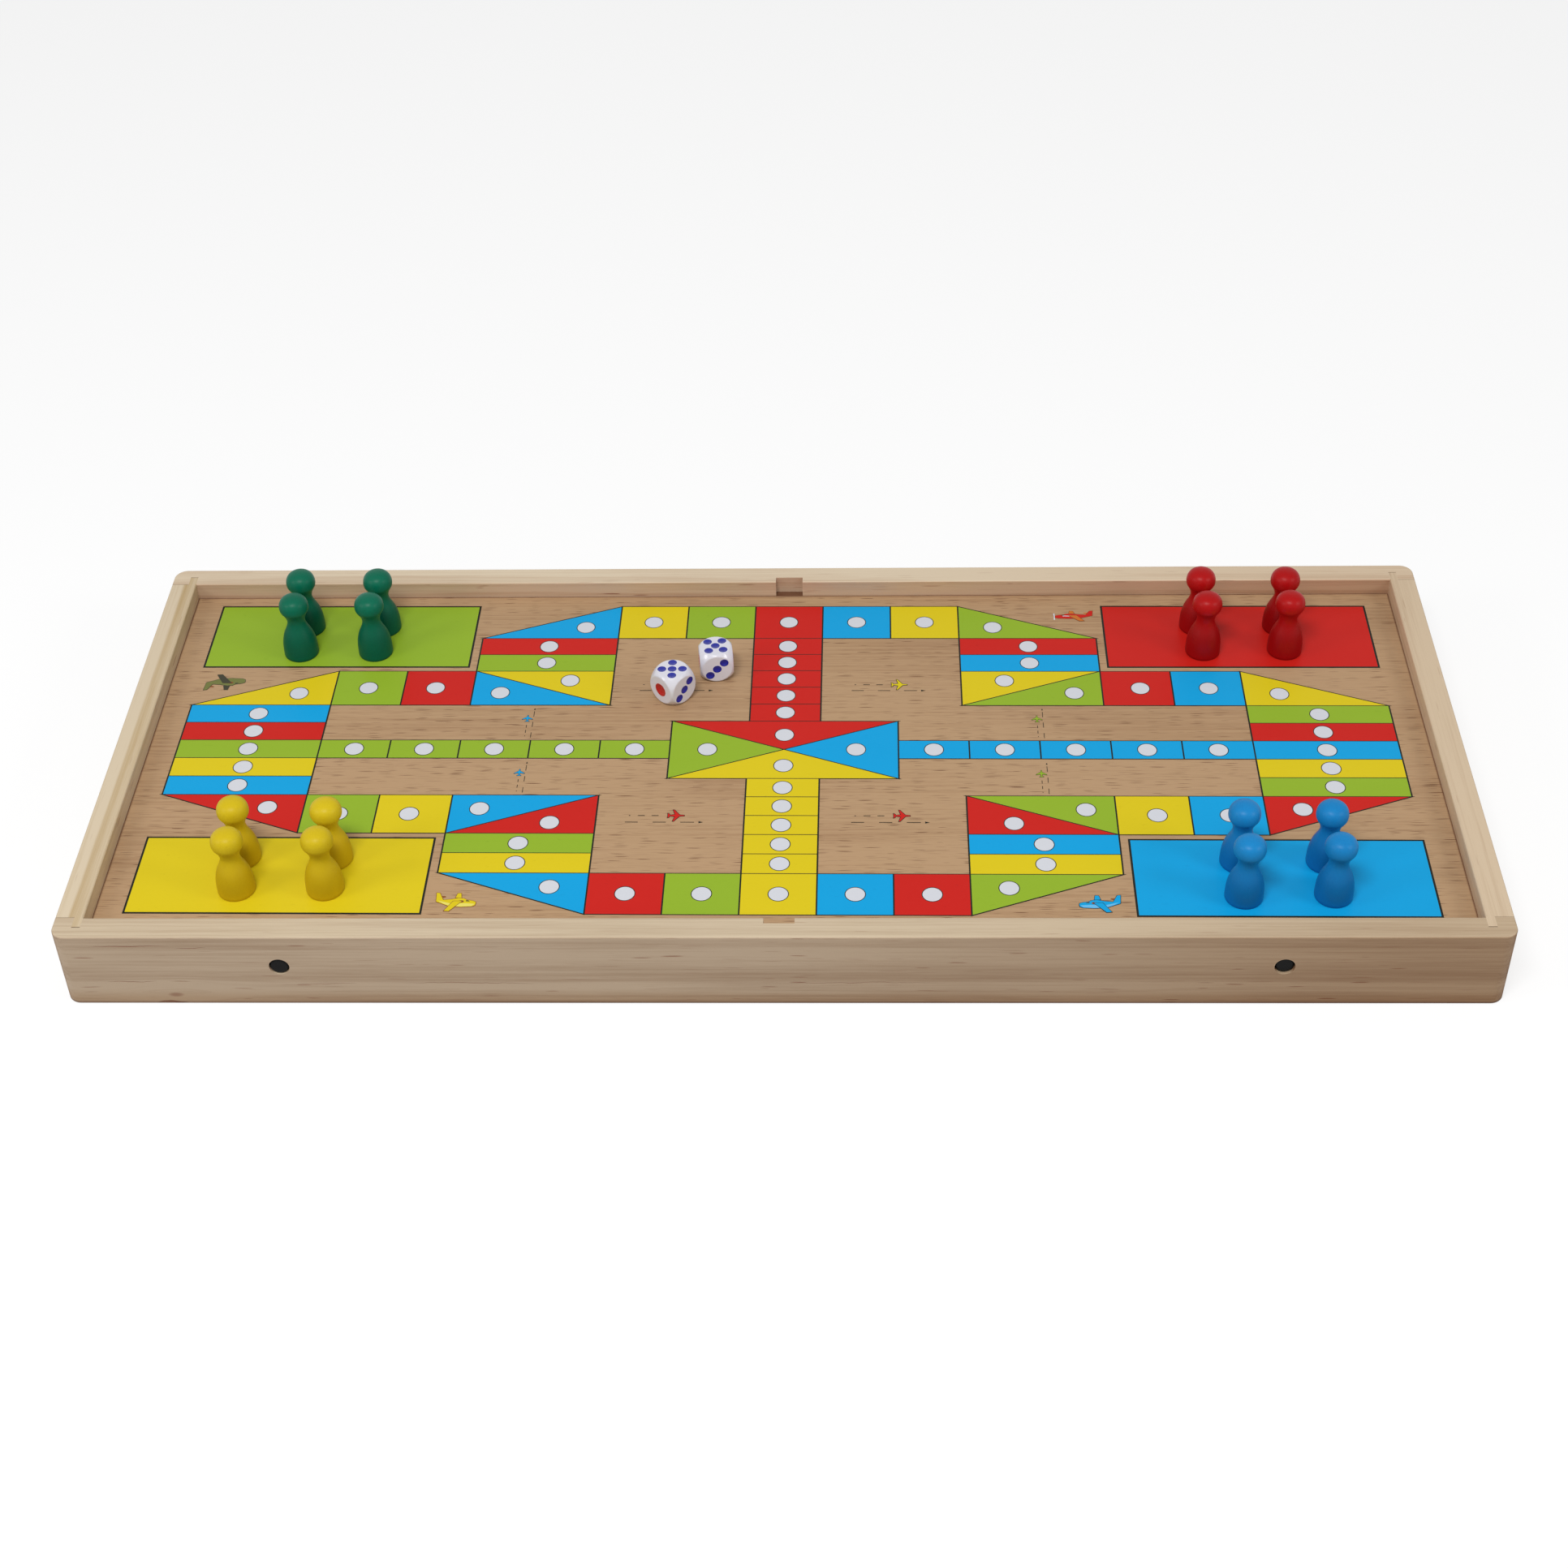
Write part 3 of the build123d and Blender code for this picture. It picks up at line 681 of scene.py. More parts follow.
    def bend(self, desk: NodeDesk, vector: Socket, knot: Knot) -> tuple[Socket, Socket]:
        """Bend the grain round a knot.

        Args:
            desk: The material's desk.
            vector: The grain coordinates in metres.
            knot: The knot.

        Returns:
            The mask of the knot's core, and the bent coordinates.
        """
        local = desk.vector("SUBTRACT", vector, tuple(value * MM for value in knot.middle))
        scale = (1 / (knot.reach[0] * MM), 0.0, 1 / (knot.reach[1] * MM))
        span = desk.measure("LENGTH", desk.vector("MULTIPLY", local, scale))
        away = desk.times(span, span)
        bell = desk.math("DIVIDE", 1.0, desk.math("ADD", 1.0, desk.times(away, away)))
        hand = desk.remap(desk.split(local)["Z"], (-2.0 * MM, 2.0 * MM), (1.0, -1.0))
        pull = desk.times(desk.times(bell, hand), knot.pull * MM)
        bent = desk.vector("ADD", vector, desk.gather({2: pull}))
        return desk.remap(away, (0.06, 0.0), (0.0, 0.55)), bent

    def shaded(self, desk: NodeDesk, colour: Socket, place: Outputs, side: Socket) -> Socket:
        """Darken the wood's joints, tint its right end and paint shade on upright faces, wall gaps and foot.

        Args:
            desk: The material's desk.
            colour: The wood's own colour.
            place: X, Y and Z in metres.
            side: Mask of the upright faces.

        Returns:
            The shaded colour.
        """
        # Painted shade: upright faces take a darker tint than the tops.
        colour = desk.tint(side, colour, self.upright_shade_tint)
        # Darker towards the right end: partly the wood's own tone, partly painted shade.
        sides = desk.remap(side, (0.0, 1.0), self.right_shares)
        right = desk.times(desk.remap(place["X"], self.right_span), sides)
        colour = desk.tint(right, colour, self.right_end_tone_and_shade)
        for seam in self.seams:
            off = desk.size_of(desk.math("SUBTRACT", desk.size_of(place["Y"]), seam.place * MM))
            line = desk.remap(off, (seam.width * MM, 0.0), (0.0, seam.strength))
            begun = desk.math("GREATER_THAN", desk.size_of(place["X"]), seam.start * MM)
            colour = desk.mix(desk.times(line, begun), colour, self.seam_dark)
        # Painted shadow in the gap along the rails' walls.
        if self.wall_shadow_line:
            near = [
                desk.remap(desk.size_of(place[axis]), ((wall - self.wall_shadow_reach) * MM, wall * MM))
                for axis, wall in zip("XY", self.wall_shadow_line)
            ]
            dark = desk.times(desk.math("MAXIMUM", *near), self.wall_shadow_strength)
            colour = desk.mix(dark, colour, self.wall_shadow_colour)
        # Painted contact shadow on the upright faces near the table.
        if self.painted_foot_shadow:
            for top, bottom, strength, tint in self.painted_foot_shadow_bands:
                band = desk.remap(place["Z"], (top * MM, bottom * MM), (0.0, strength * self.painted_foot_shadow))
                colour = desk.tint(desk.times(band, side), colour, tint)
        return colour


@dataclass(frozen=True)
class FilmFinish:
    """Ink, lacquer, plastic or rubber: an even film with mottling and a soft sheen."""

    film: Colour
    shade: Colour
    roughness: float = 0.4
    mottle: float = 0.25
    specks: float = 0.3
    relief: float = 0.02
    gloss: float = 0.5
    stretch: Triple = (1.0, 1.0, 1.0)
    coat: float = 0.0
    coat_roughness: float = 0.12
    # Darker towards a height, within a reach (middle, reach, strength).
    dark_band: Optional[Triple] = None
    # Painted shade: the film darkens towards its shade tone below a height (top, bottom, strength).
    sag: Optional[Triple] = None

    def material(self, name: str) -> Material:
        """Build the finish as a material.

        Args:
            name: The material's name.

        Returns:
            The material.
        """
        material, desk, coordinates = new_material(name)
        film = FilmTexture.place(
            desk,
            Vector=coordinates,
            Film=self.film,
            Shade=self.shade,
            Mottle_Share=self.mottle,
            Speck_Share=self.specks,
            Sheen_Roughness=self.roughness,
            Stretch=self.stretch,
        )
        colour, level = film["Color"], desk.split(coordinates)["Z"]
        # Painted shade, darker below the given height.
        if self.sag:
            top, bottom, strength = self.sag
            low_shade_share = desk.remap(level, (top * MM, bottom * MM), (0.0, strength))
            colour = desk.mix(low_shade_share, colour, self.shade)
        # Darker towards the given height.
        if self.dark_band:
            middle, reach, strength = self.dark_band
            off = desk.size_of(desk.math("SUBTRACT", level, middle * MM))
            colour = desk.mix(desk.remap(off, (reach * MM, 0.0), (0.0, strength)), colour, self.shade)
        close_material(
            desk,
            Base_Color=colour,
            Roughness=film["Roughness"],
            Normal=desk.bump(film["Height"], self.relief),
            Specular_IOR_Level=self.gloss,
            Coat_Weight=self.coat,
            Coat_Roughness=self.coat_roughness,
        )
        return material


@dataclass(frozen=True)
class BraidFinish:
    """Braided black elastic, laid out on the cord's own UV map."""

    thread: Colour = tone(30, 30, 33)
    # Painted shade: the hollows between the threads take this darker colour.
    gap: Colour = tone(9, 9, 10)
    strands: float = 8.0
    fuzz_cells: float = 40.0
    fuzz_share: float = 0.25
    thread_edge: Point = (0.25, 0.8)
    roughness: Point = (0.85, 0.6)
    relief: float = 0.25
    gloss: float = 0.35

    def material(self, name: str) -> Material:
        """Build the finish as a material.

        Args:
            name: The material's name.

        Returns:
            The material.
        """
        material, desk, _ = new_material(name)
        layout = desk.add("ShaderNodeUVMap", {}, uv_map="wrap").outputs[0]
        parts = desk.split(layout)
        round_share = desk.times(parts["X"], self.strands)
        ridges = []
        for hand in ("ADD", "SUBTRACT"):
            helix = desk.math(hand, round_share, parts["Y"])
            ridges.append(desk.size_of(desk.math("SINE", desk.times(helix, math.pi))))
        braid = desk.times(desk.math("MAXIMUM", *ridges), desk.math("ADD", *ridges))
        cells = {"Vector": layout, "Scale": self.fuzz_cells, "Detail": 2.0}
        fuzz = desk.add("ShaderNodeTexNoise", cells).outputs["Fac"]
        height = desk.math("MULTIPLY_ADD", fuzz, self.fuzz_share, desk.times(braid, 0.5))
        # The threads' colour darkens into the hollows between them as painted shade.
        close_material(
            desk,
            Base_Color=desk.mix(desk.remap(height, self.thread_edge), self.gap, self.thread),
            Roughness=desk.remap(height, (0.2, 0.9), self.roughness),
            Normal=desk.bump(height, self.relief),
            Specular_IOR_Level=self.gloss,
        )
        return material


def dress(node: str, material: Material) -> None:
    """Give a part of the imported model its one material.

    Args:
        node: The part's name.
        material: Its material.
    """
    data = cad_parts[node].data
    data.materials.clear()
    data.materials.append(material)
    LOG.info("dressed %s in %s", node, material.name)


def new_piece(
    name: str, mesh: Shape, materials: Sequence[Material], smooth: bool = False
) -> bpy.types.Object:
    """Turn a finished bmesh into an object of the scene.

    Args:
        name: The piece's name.
        mesh: Its shape in metres, which this frees.
        materials: Its materials, in the order of the faces' numbers.
        smooth: Whether its faces are shaded as one curve.

    Returns:
        The new object, at the origin.
    """
    for face in mesh.faces:
        face.smooth = smooth
    data = bpy.data.meshes.new(name)
    mesh.to_mesh(data)
    mesh.free()
    for material in materials:
        data.materials.append(material)
    piece = bpy.data.objects.new(name, data)
    bpy.context.scene.collection.objects.link(piece)
    LOG.info("made %s with %d faces", name, len(data.polygons))
    return piece


def turned(profile: Sequence[Point], steps: int) -> Shape:
    """Turn a profile about Z into a closed shape.

    Args:
        profile: Radius and height of each point, from the axis out and back to the axis.
        steps: How many facets the full turn has.

    Returns:
        The shape, with outward normals.
    """
    mesh = bmesh.new()
    points = [mesh.verts.new((radius, 0.0, height)) for radius, height in profile]
    for first, second in zip(points, points[1:]):
        mesh.edges.new((first, second))
    geometry = mesh.verts[:] + mesh.edges[:]
    full = {"angle": 2 * math.pi, "steps": steps, "use_merge": True}
    bmesh.ops.spin(mesh, geom=geometry, axis=(0, 0, 1), cent=(0, 0, 0), **full)
    bmesh.ops.remove_doubles(mesh, verts=mesh.verts, dist=1e-7)
    bmesh.ops.recalc_face_normals(mesh, faces=mesh.faces)
    return mesh


def joined(parts: Sequence[Shape]) -> Shape:
    """Gather several shapes in one and free them.

    Args:
        parts: The shapes to gather.

    Returns:
        One bmesh with all their faces.
    """
    whole = bmesh.new()
    for part in parts:
        data = bpy.data.meshes.new("part")
        part.to_mesh(data)
        part.free()
        whole.from_mesh(data)
        bpy.data.meshes.remove(data)
    return whole


@dataclass
class RailFrame:
    """The four pine rails of the tray."""

    tick: Colour = tone(142, 96, 74)
    # Painted shade on the upright faces of the long rails and, fainter, of the end rails.
    upright_shade_tint: Colour = (0.96, 0.9, 0.9, 1.0)
    end_rail_upright_shade: Colour = (1.0, 0.98, 0.98, 1.0)
    checks: tuple[Check, ...] = (
        Check((-250.0, -120.0, 31.2), 16.0, 0.22),
        Check((-226.0, -120.0, 30.6), 6.0, 0.16),
        Check((-238.0, -120.0, 0.9), 6.0, 0.7),
        Check((-120.0, -120.0, 11.4), 26.0, 0.14),
        Check((-252.0, -120.0, 12.2), 10.0, 0.18),
        Check((-176.0, -120.0, 11.0), 12.0, 0.14),
        Check((30.0, -120.0, 11.6), 30.0, 0.12),
    )
    knot: Knot = Knot((-236.0, -120.0, 5.0), (15.0, 6.0), 5.0)
    seams: tuple[Seam, ...] = (Seam(108.9, 272.4, 0.6), Seam(114.3, 268.0, 0.8))

    def cut(self, pale: Colour, late: Colour, seed: float, pith: Triple, **own: object) -> WoodFinish:
        """Cut one rail's pine.

        Args:
            pale: The colour of its early wood.
            late: The colour of its late wood.
            seed: Where its patterns start.
            pith: The line that its rings run about.
            **own: What else is the rail's own.

        Returns:
            The rail's finish.
        """
        ticks = {"tick_length": 12.0, "tick_height": 0.8, "tick_presence": 0.06, "flat_tick_share": 0.3}
        # Every rail takes painted shade on its upright faces and a painted contact shadow near the table.
        common = {"upright_shade_tint": self.upright_shade_tint, "cloud_share": 0.5, "painted_foot_shadow": 1.0, **ticks}
        return WoodFinish(pale, late, self.tick, seed=seed, pith=pith, **{**common, **own})

    def dress(self) -> None:
        """Give each rail its own cut of pine."""
        front_colours = (tone(205, 187, 160), tone(156, 128, 100))
        # The front rail's right end is darker: partly its wood, partly painted shade.
        front = {"ring_pitch": 17.5, "wander": 1.6, "right_end_tone_and_shade": (0.76, 0.66, 0.57, 1.0)}
        front |= {"checks": self.checks, "knot": self.knot}
        back_colours = (tone(220, 203, 177), tone(184, 152, 122))
        back = {"ring_pitch": 7.0, "ring_share": 0.35, "wander": 5.0}
        # Deeper painted shade on the back rail's upright faces; its right end is darker, partly its wood,
        # partly painted shade.
        back |= {"upright_shade_tint": (0.8, 0.7, 0.66, 1.0), "right_end_tone_and_shade": (0.88, 0.77, 0.7, 1.0)}
        # The end rails take only a faint painted shade on their upright faces.
        end = {"grain": Grain.ACROSS_TRAY, "seams": self.seams, "upright_shade_tint": self.end_rail_upright_shade}
        left_colours = (tone(214, 197, 170), tone(184, 158, 116))
        left = {"ring_pitch": 14.0, "ring_share": 0.75, "wander": 0.8, **end}
        right_colours = (tone(212, 192, 165), tone(176, 148, 118))
        # The right rail's far end is a little darker: partly its wood, partly painted shade.
        right = {"ring_pitch": 9.0, "ring_share": 0.4, "right_end_tone_and_shade": (0.97, 0.93, 0.88, 1.0), **end}
        rails = {
            "front_rail": self.cut(*front_colours, 0.3, (0.0, -118.0, 116.0), **front),
            "back_rail": self.cut(*back_colours, 2.6, (0.0, 70.0, -60.0), **back),
            "left_rail": self.cut(*left_colours, 5.1, (0.0, 177.5, 36.0), **left),
            "right_rail": self.cut(*right_colours, 7.4, (0.0, -190.0, -40.0), **right),
        }
        for node, finish in rails.items():
            dress(node, finish.material(f"pine_{node}"))


@dataclass
class FlatBoards:
    """The plywood panel that carries the print, and the removable divider of the sling court."""

    # The veneer takes a painted shadow in the gap along the rails' walls.
    veneer: WoodFinish = WoodFinish(
        tone(182, 149, 114), tone(146, 110, 78), tone(88, 50, 30), seed=11.0, pith=(0.0, 30.0, -900.0),
        ring_pitch=5.0, ring_share=0.2, wander=9.0, streak_share=0.7, cloud_share=0.6, tick_share=0.95,
        tick_length=10.0, tick_height=0.5, tick_presence=0.36, wall_shadow_line=(268.95, 108.95),
        relief=0.03, gloss=0.15,
    )
    beech: WoodFinish = WoodFinish(
        tone(206, 170, 132), tone(178, 136, 100), tone(130, 84, 54), Grain.ACROSS_TRAY, seed=3.3,
        pith=(0.0, 60.0, -45.0), ring_pitch=4.0, ring_share=0.35,
        tick_length=7.0, tick_height=1.1, tick_presence=0.3,
    )

    def dress(self) -> None:
        """Give the panel its veneer and the divider its beech."""
        dress("game_panel", self.veneer.material("ply_veneer"))
        dress("divider", self.beech.material("beech_divider"))


class Ink(Enum):
    """The printing inks of the board, with the tone that mottles each; the first six have layers."""

    GREEN = (tone(148, 180, 46), tone(132, 164, 40))
    RED = (tone(204, 34, 26), tone(184, 28, 24))
    YELLOW = (tone(222, 200, 28), tone(206, 184, 22))
    BLUE = (tone(14, 164, 224), tone(12, 148, 208))
    WHITE = (tone(214, 216, 222), tone(200, 202, 210))
    DARK = (tone(24, 28, 20), tone(16, 18, 14))
    OLIVE = (tone(118, 122, 66), tone(92, 98, 50))
    SHADOW = (tone(66, 64, 48), tone(50, 48, 36))
    BROWN = (tone(140, 84, 44), tone(108, 62, 32))
    ORANGE = (tone(208, 118, 48), tone(186, 98, 40))
    PALE_YELLOW = (tone(232, 222, 110), tone(220, 206, 84))
    PALE_BLUE = (tone(110, 190, 236), tone(84, 170, 224))


@dataclass(frozen=True)
class InkLayer:
    """Flat shapes of one ink at one height, each with an edge of another ink where it has one."""

    ink: Ink
    shapes: Sequence[Sequence[Point]]
    outline: float = 0.0
    edge: Ink = Ink.DARK
    lift: float = 0.0


@dataclass
class PrintedBoard:
    """The printed race track: its inks, and small pictures laid on the panel in the same inks."""

    top: float = 28.2
    thickness: float = 0.1
    turn: float = -0.33
    materials: dict[Ink, Material] = field(default_factory=dict)

    def dress(self) -> None:
        """Give each ink layer its film."""
        for ink in Ink:
            finish = FilmFinish(*ink.value, stretch=(0.35, 1.0, 1.0), relief=0.012, gloss=0.13)
            colour = ink.name.lower()
            self.materials[ink] = finish.material(f"ink_{colour}")
            if f"print_{colour}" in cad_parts:
                dress(f"print_{colour}", self.materials[ink])

    def film_of(self, layer: InkLayer, numbers: Mapping[Ink, int]) -> Shape:
        """Make the thin solid films of one layer.

        Args:
            layer: The layer.
            numbers: The material number of each ink.

        Returns:
            The films, standing on the panel.
        """
        mesh = bmesh.new()
        for shape in layer.shapes:
            mesh.faces.new([mesh.verts.new((x * MM, y * MM, self.top * MM)) for x, y in shape])
        mesh.normal_update()
        bmesh.ops.reverse_faces(mesh, faces=[each for each in mesh.faces if each.normal.z < 0])
        for each in mesh.faces:
            each.material_index = numbers[layer.ink]
        if layer.outline:
            inset = {"thickness": layer.outline * MM, "use_even_offset": True}
            for rim in bmesh.ops.inset_individual(mesh, faces=mesh.faces[:], **inset)["faces"]:
                rim.material_index = numbers[layer.edge]
        raised = bmesh.ops.extrude_face_region(mesh, geom=mesh.faces[:], use_keep_orig=True)
        verts = [item for item in raised["geom"] if isinstance(item, bmesh.types.BMVert)]
        bmesh.ops.translate(mesh, verts=verts, vec=(0.0, 0.0, (self.thickness + layer.lift) * MM))
        bmesh.ops.recalc_face_normals(mesh, faces=mesh.faces)
        turn = Matrix.Rotation(math.radians(self.turn), 4, "Z")
        bmesh.ops.transform(mesh, matrix=turn, verts=mesh.verts)
        return mesh

    def lay(self, name: str, layers: Sequence[InkLayer], slot: Ink) -> None:
        """Lay a small picture on the panel as one thin piece.

        Args:
            name: The piece's name.
            layers: Its layers, from the lowest up.
            slot: The board's ink that it counts as; not used.
        """
        inks = list(dict.fromkeys(ink for layer in layers for ink in (layer.ink, layer.edge)))
        numbers = {ink: number for number, ink in enumerate(inks)}
        mesh = joined([self.film_of(layer, numbers) for layer in layers])
        piece = new_piece(name, mesh, [self.materials[ink] for ink in inks])
        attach(piece, "tray")


def placed(shape: Sequence[Point], middle: Point, turn: float, size: float) -> list[Point]:
    """Scale, turn and move an outline.

    Args:
        shape: The outline about its own middle.
        middle: Where its middle goes, in millimetres.
        turn: Turn to the left, in radians.
        size: Scale of the outline.

    Returns:
        The outline in its place.
    """
    cosine, sine = math.cos(turn), math.sin(turn)
    moved = []
    for x, y in shape:
        x, y = x * size, y * size
        moved.append((middle[0] + x * cosine - y * sine, middle[1] + x * sine + y * cosine))
    return moved


def strip(start: Point, end: Point, width: float) -> list[Point]:
    """Give the outline of a short straight stroke.

    Args:
        start: Its first end, in millimetres.
        end: Its other end.
        width: How wide it is.

    Returns:
        Its four corners.
    """
    way = Vector((end[0] - start[0], end[1] - start[1])).normalized()
    side = Vector((-way.y, way.x)) * width / 2
    corners = ((start, side), (start, -side), (end, -side), (end, side))
    return [(point[0] + shift.x, point[1] + shift.y) for point, shift in corners]


@dataclass
class FlightMarks:
    """Small aircraft and the dashed paths that show which way they fly."""

    board: PrintedBoard
    stroke: float = 0.3
    edge: float = 0.24
    plane_half: Outline = (
        (3.7, 0.0), (3.5, 0.4), (1.6, 0.6), (-0.7, 3.7), (-1.5, 3.7), (-0.7, 0.85), (-2.3, 0.5),
        (-2.8, 1.4), (-3.6, 1.6), (-3.45, 0.0),
    )
    wide_paths: Outline = ((-20.5, -15.3), (-9.2, -3.9), (2.0, 7.6))
    near_paths: Outline = ((-19.2, -18.6), (-15.5, -12.7), (-9.9, -7.1))
    arrow_reach: Point = (9.4, 11.2)
    arrow_half: float = 0.55
    path_gap: float = 4.05
    flights: tuple[tuple[str, Ink, Point, float, float], ...] = (
        ("front_left", Ink.RED, (-43.3, -41.4), 0.0, 1.0),
        ("front_right", Ink.RED, (48.5, -41.3), 0.0, 1.0),
        ("back_right", Ink.YELLOW, (48.3, 44.3), 0.0, 1.0),
        ("back_left", Ink.YELLOW, (-43.3, 44.3), 0.0, 1.0),
        ("left_back", Ink.BLUE, (-110.4, 21.1), math.pi / 2, 0.62),
        ("left_front", Ink.BLUE, (-110.1, -14.5), math.pi / 2, 0.62),
        ("right_back", Ink.GREEN, (106.4, 21.0), math.pi / 2, 0.62),
        ("right_front", Ink.GREEN, (106.4, -14.8), math.pi / 2, 0.62),
    )

    def plane(self) -> list[Point]:
        """Return the whole outline of the small aircraft seen from above."""
        lower = [(x, -y) for x, y in reversed(self.plane_half) if y > 0]
        return list(self.plane_half) + lower

    def build(self) -> None:
        """Lay every small aircraft with its dashes and its arrowhead."""
        for name, ink, middle, turn, size in self.flights:
            plane = placed(self.plane(), middle, turn, size)
            self.board.lay(f"{name}_small_plane", [InkLayer(ink, [plane], self.edge * size)], ink)
            strokes = []
            for paths, offset in ((self.wide_paths, -self.path_gap), (self.near_paths, 0.0)):
                for start, end in paths:
                    strokes.append(strip((start, offset), (end, offset), self.stroke / math.sqrt(size)))
            (near, far), gap, half = self.arrow_reach, self.path_gap, self.arrow_half
            strokes.append([(near, half - gap), (near, -half - gap), (far, -gap)])
            shapes = [placed(stroke, middle, turn, size) for stroke in strokes]
            self.board.lay(f"{name}_flight_path", [InkLayer(Ink.DARK, shapes)], Ink.DARK)


@dataclass(frozen=True)
class PictureInks:
    """The inks of one corner aircraft."""

    hull: Ink
    light: Ink
    wing: Ink
    engine: Ink
    edge: Ink
    slot: Ink


@dataclass
class CornerAircraft:
    """Four small painted aircraft in the corners between the homes and the track."""

    board: PrintedBoard
    step: float = 0.015
    edge: float = 0.2
    hull: Outline = (
        (8.6, -0.5), (8.4, 0.5), (7.0, 1.1), (4.6, 1.5), (3.4, 2.3), (1.0, 2.5), (-2.0, 1.8), (-5.2, 1.5),
        (-7.0, 5.1), (-8.7, 5.3), (-8.3, 0.3), (-5.6, -0.8), (-2.6, -2.1), (2.4, -2.5), (7.0, -2.2),
        (8.3, -1.6),
    )
    belly: Outline = (
        (8.0, -0.7), (4.0, -0.4), (-2.0, -0.6), (-7.6, 1.0), (-5.4, -0.5), (-2.5, -1.8), (2.4, -2.2),
        (6.9, -1.9),
    )
    near_wing: Outline = ((3.0, 0.9), (-1.2, 0.8), (-4.6, -4.6), (-2.2, -4.8))
    far_wing: Outline = ((2.4, 2.3), (-0.6, 2.4), (0.2, 5.0), (1.9, 5.1))
    tailplane: Outline = ((-5.9, 2.3), (-6.8, 3.4), (-4.6, 3.3), (-4.3, 2.9))
    stripe: Outline = ((5.0, -0.2), (4.9, 0.4), (0.2, 0.2), (0.3, -0.4))
    window: Outline = ((5.9, 0.5), (5.1, 1.1), (4.2, 1.2), (4.2, 0.6))
    cowl: Point = (1.1, 0.62)
    cowl_middle: Point = (2.3, 0.5)
    cowl_corners: int = 16
    propeller_level: float = -0.5
    blade: Outline = ((8.5, -0.6), (8.9, -0.6), (9.1, 2.3), (8.5, 2.4))

    def cowling(self) -> list[Point]:
        """Round the engine under the near wing.

        Returns:
            Its outline.
        """
        (x, y), (wide, high) = self.cowl_middle, self.cowl
        angles = [2 * math.pi * index / self.cowl_corners for index in range(self.cowl_corners)]
        return [(x + wide * math.cos(angle), y + high * math.sin(angle)) for angle in angles]

    def layers(self, inks: PictureInks, propeller: bool, middle: Point, size: Point) -> list[InkLayer]:
        """Stack the layers of one aircraft.

        Args:
            inks: Its inks.
            propeller: Whether it has a pale propeller and stripe instead of a wing engine.
            middle: Where its middle lies on the board, in millimetres.
            size: Its scale along X and Y, where a minus mirrors it.

        Returns:
            The layers, from the lowest up.
        """
        stack = [
            (inks.wing, self.far_wing, self.edge),
            (inks.engine, self.tailplane, 0.0),
            (inks.hull, self.hull, self.edge),
            (inks.light, self.belly, 0.0),
            (Ink.SHADOW, self.window, 0.0),
        ]
        if propeller:
            blade = [(x, 2 * self.propeller_level - y) for x, y in self.blade]
            stack += [(Ink.WHITE, self.blade, 0.0), (Ink.WHITE, blade, 0.0), (Ink.WHITE, self.stripe, 0.0)]
        else:
            stack.append((inks.engine, self.cowling(), 0.0))
        stack.append((inks.wing, self.near_wing, self.edge))
        layers = []
        for order, (ink, shape, edge) in enumerate(stack):
            outline = [(middle[0] + x * size[0], middle[1] + y * size[1]) for x, y in shape]
            layers.append(InkLayer(ink, [outline], edge, inks.edge, self.step * order))
        return layers

    def build(self) -> None:
        """Lay the four aircraft, each in its corner's inks."""
        olive = PictureInks(Ink.OLIVE, Ink.OLIVE, Ink.SHADOW, Ink.BROWN, Ink.SHADOW, Ink.GREEN)
        red = PictureInks(Ink.RED, Ink.RED, Ink.ORANGE, Ink.ORANGE, Ink.BROWN, Ink.RED)
        yellow = PictureInks(Ink.YELLOW, Ink.PALE_YELLOW, Ink.YELLOW, Ink.BROWN, Ink.BROWN, Ink.YELLOW)
        blue = PictureInks(Ink.BLUE, Ink.PALE_BLUE, Ink.BLUE, Ink.BROWN, Ink.DARK, Ink.BLUE)
        aircraft = (
            ("back_left", olive, False, (-245.2, 46.0), (1.02, -1.1)),
            ("back_right", red, True, (126.6, 93.5), (-1.0, 0.78)),
            ("front_left", yellow, False, (-126.8, -93.2), (0.95, 1.08)),
            ("front_right", blue, False, (125.0, -93.0), (-0.97, 1.0)),
        )
        for name, inks, propeller, middle, size in aircraft:
            self.board.lay(f"{name}_corner_aircraft", self.layers(inks, propeller, middle, size), inks.slot)


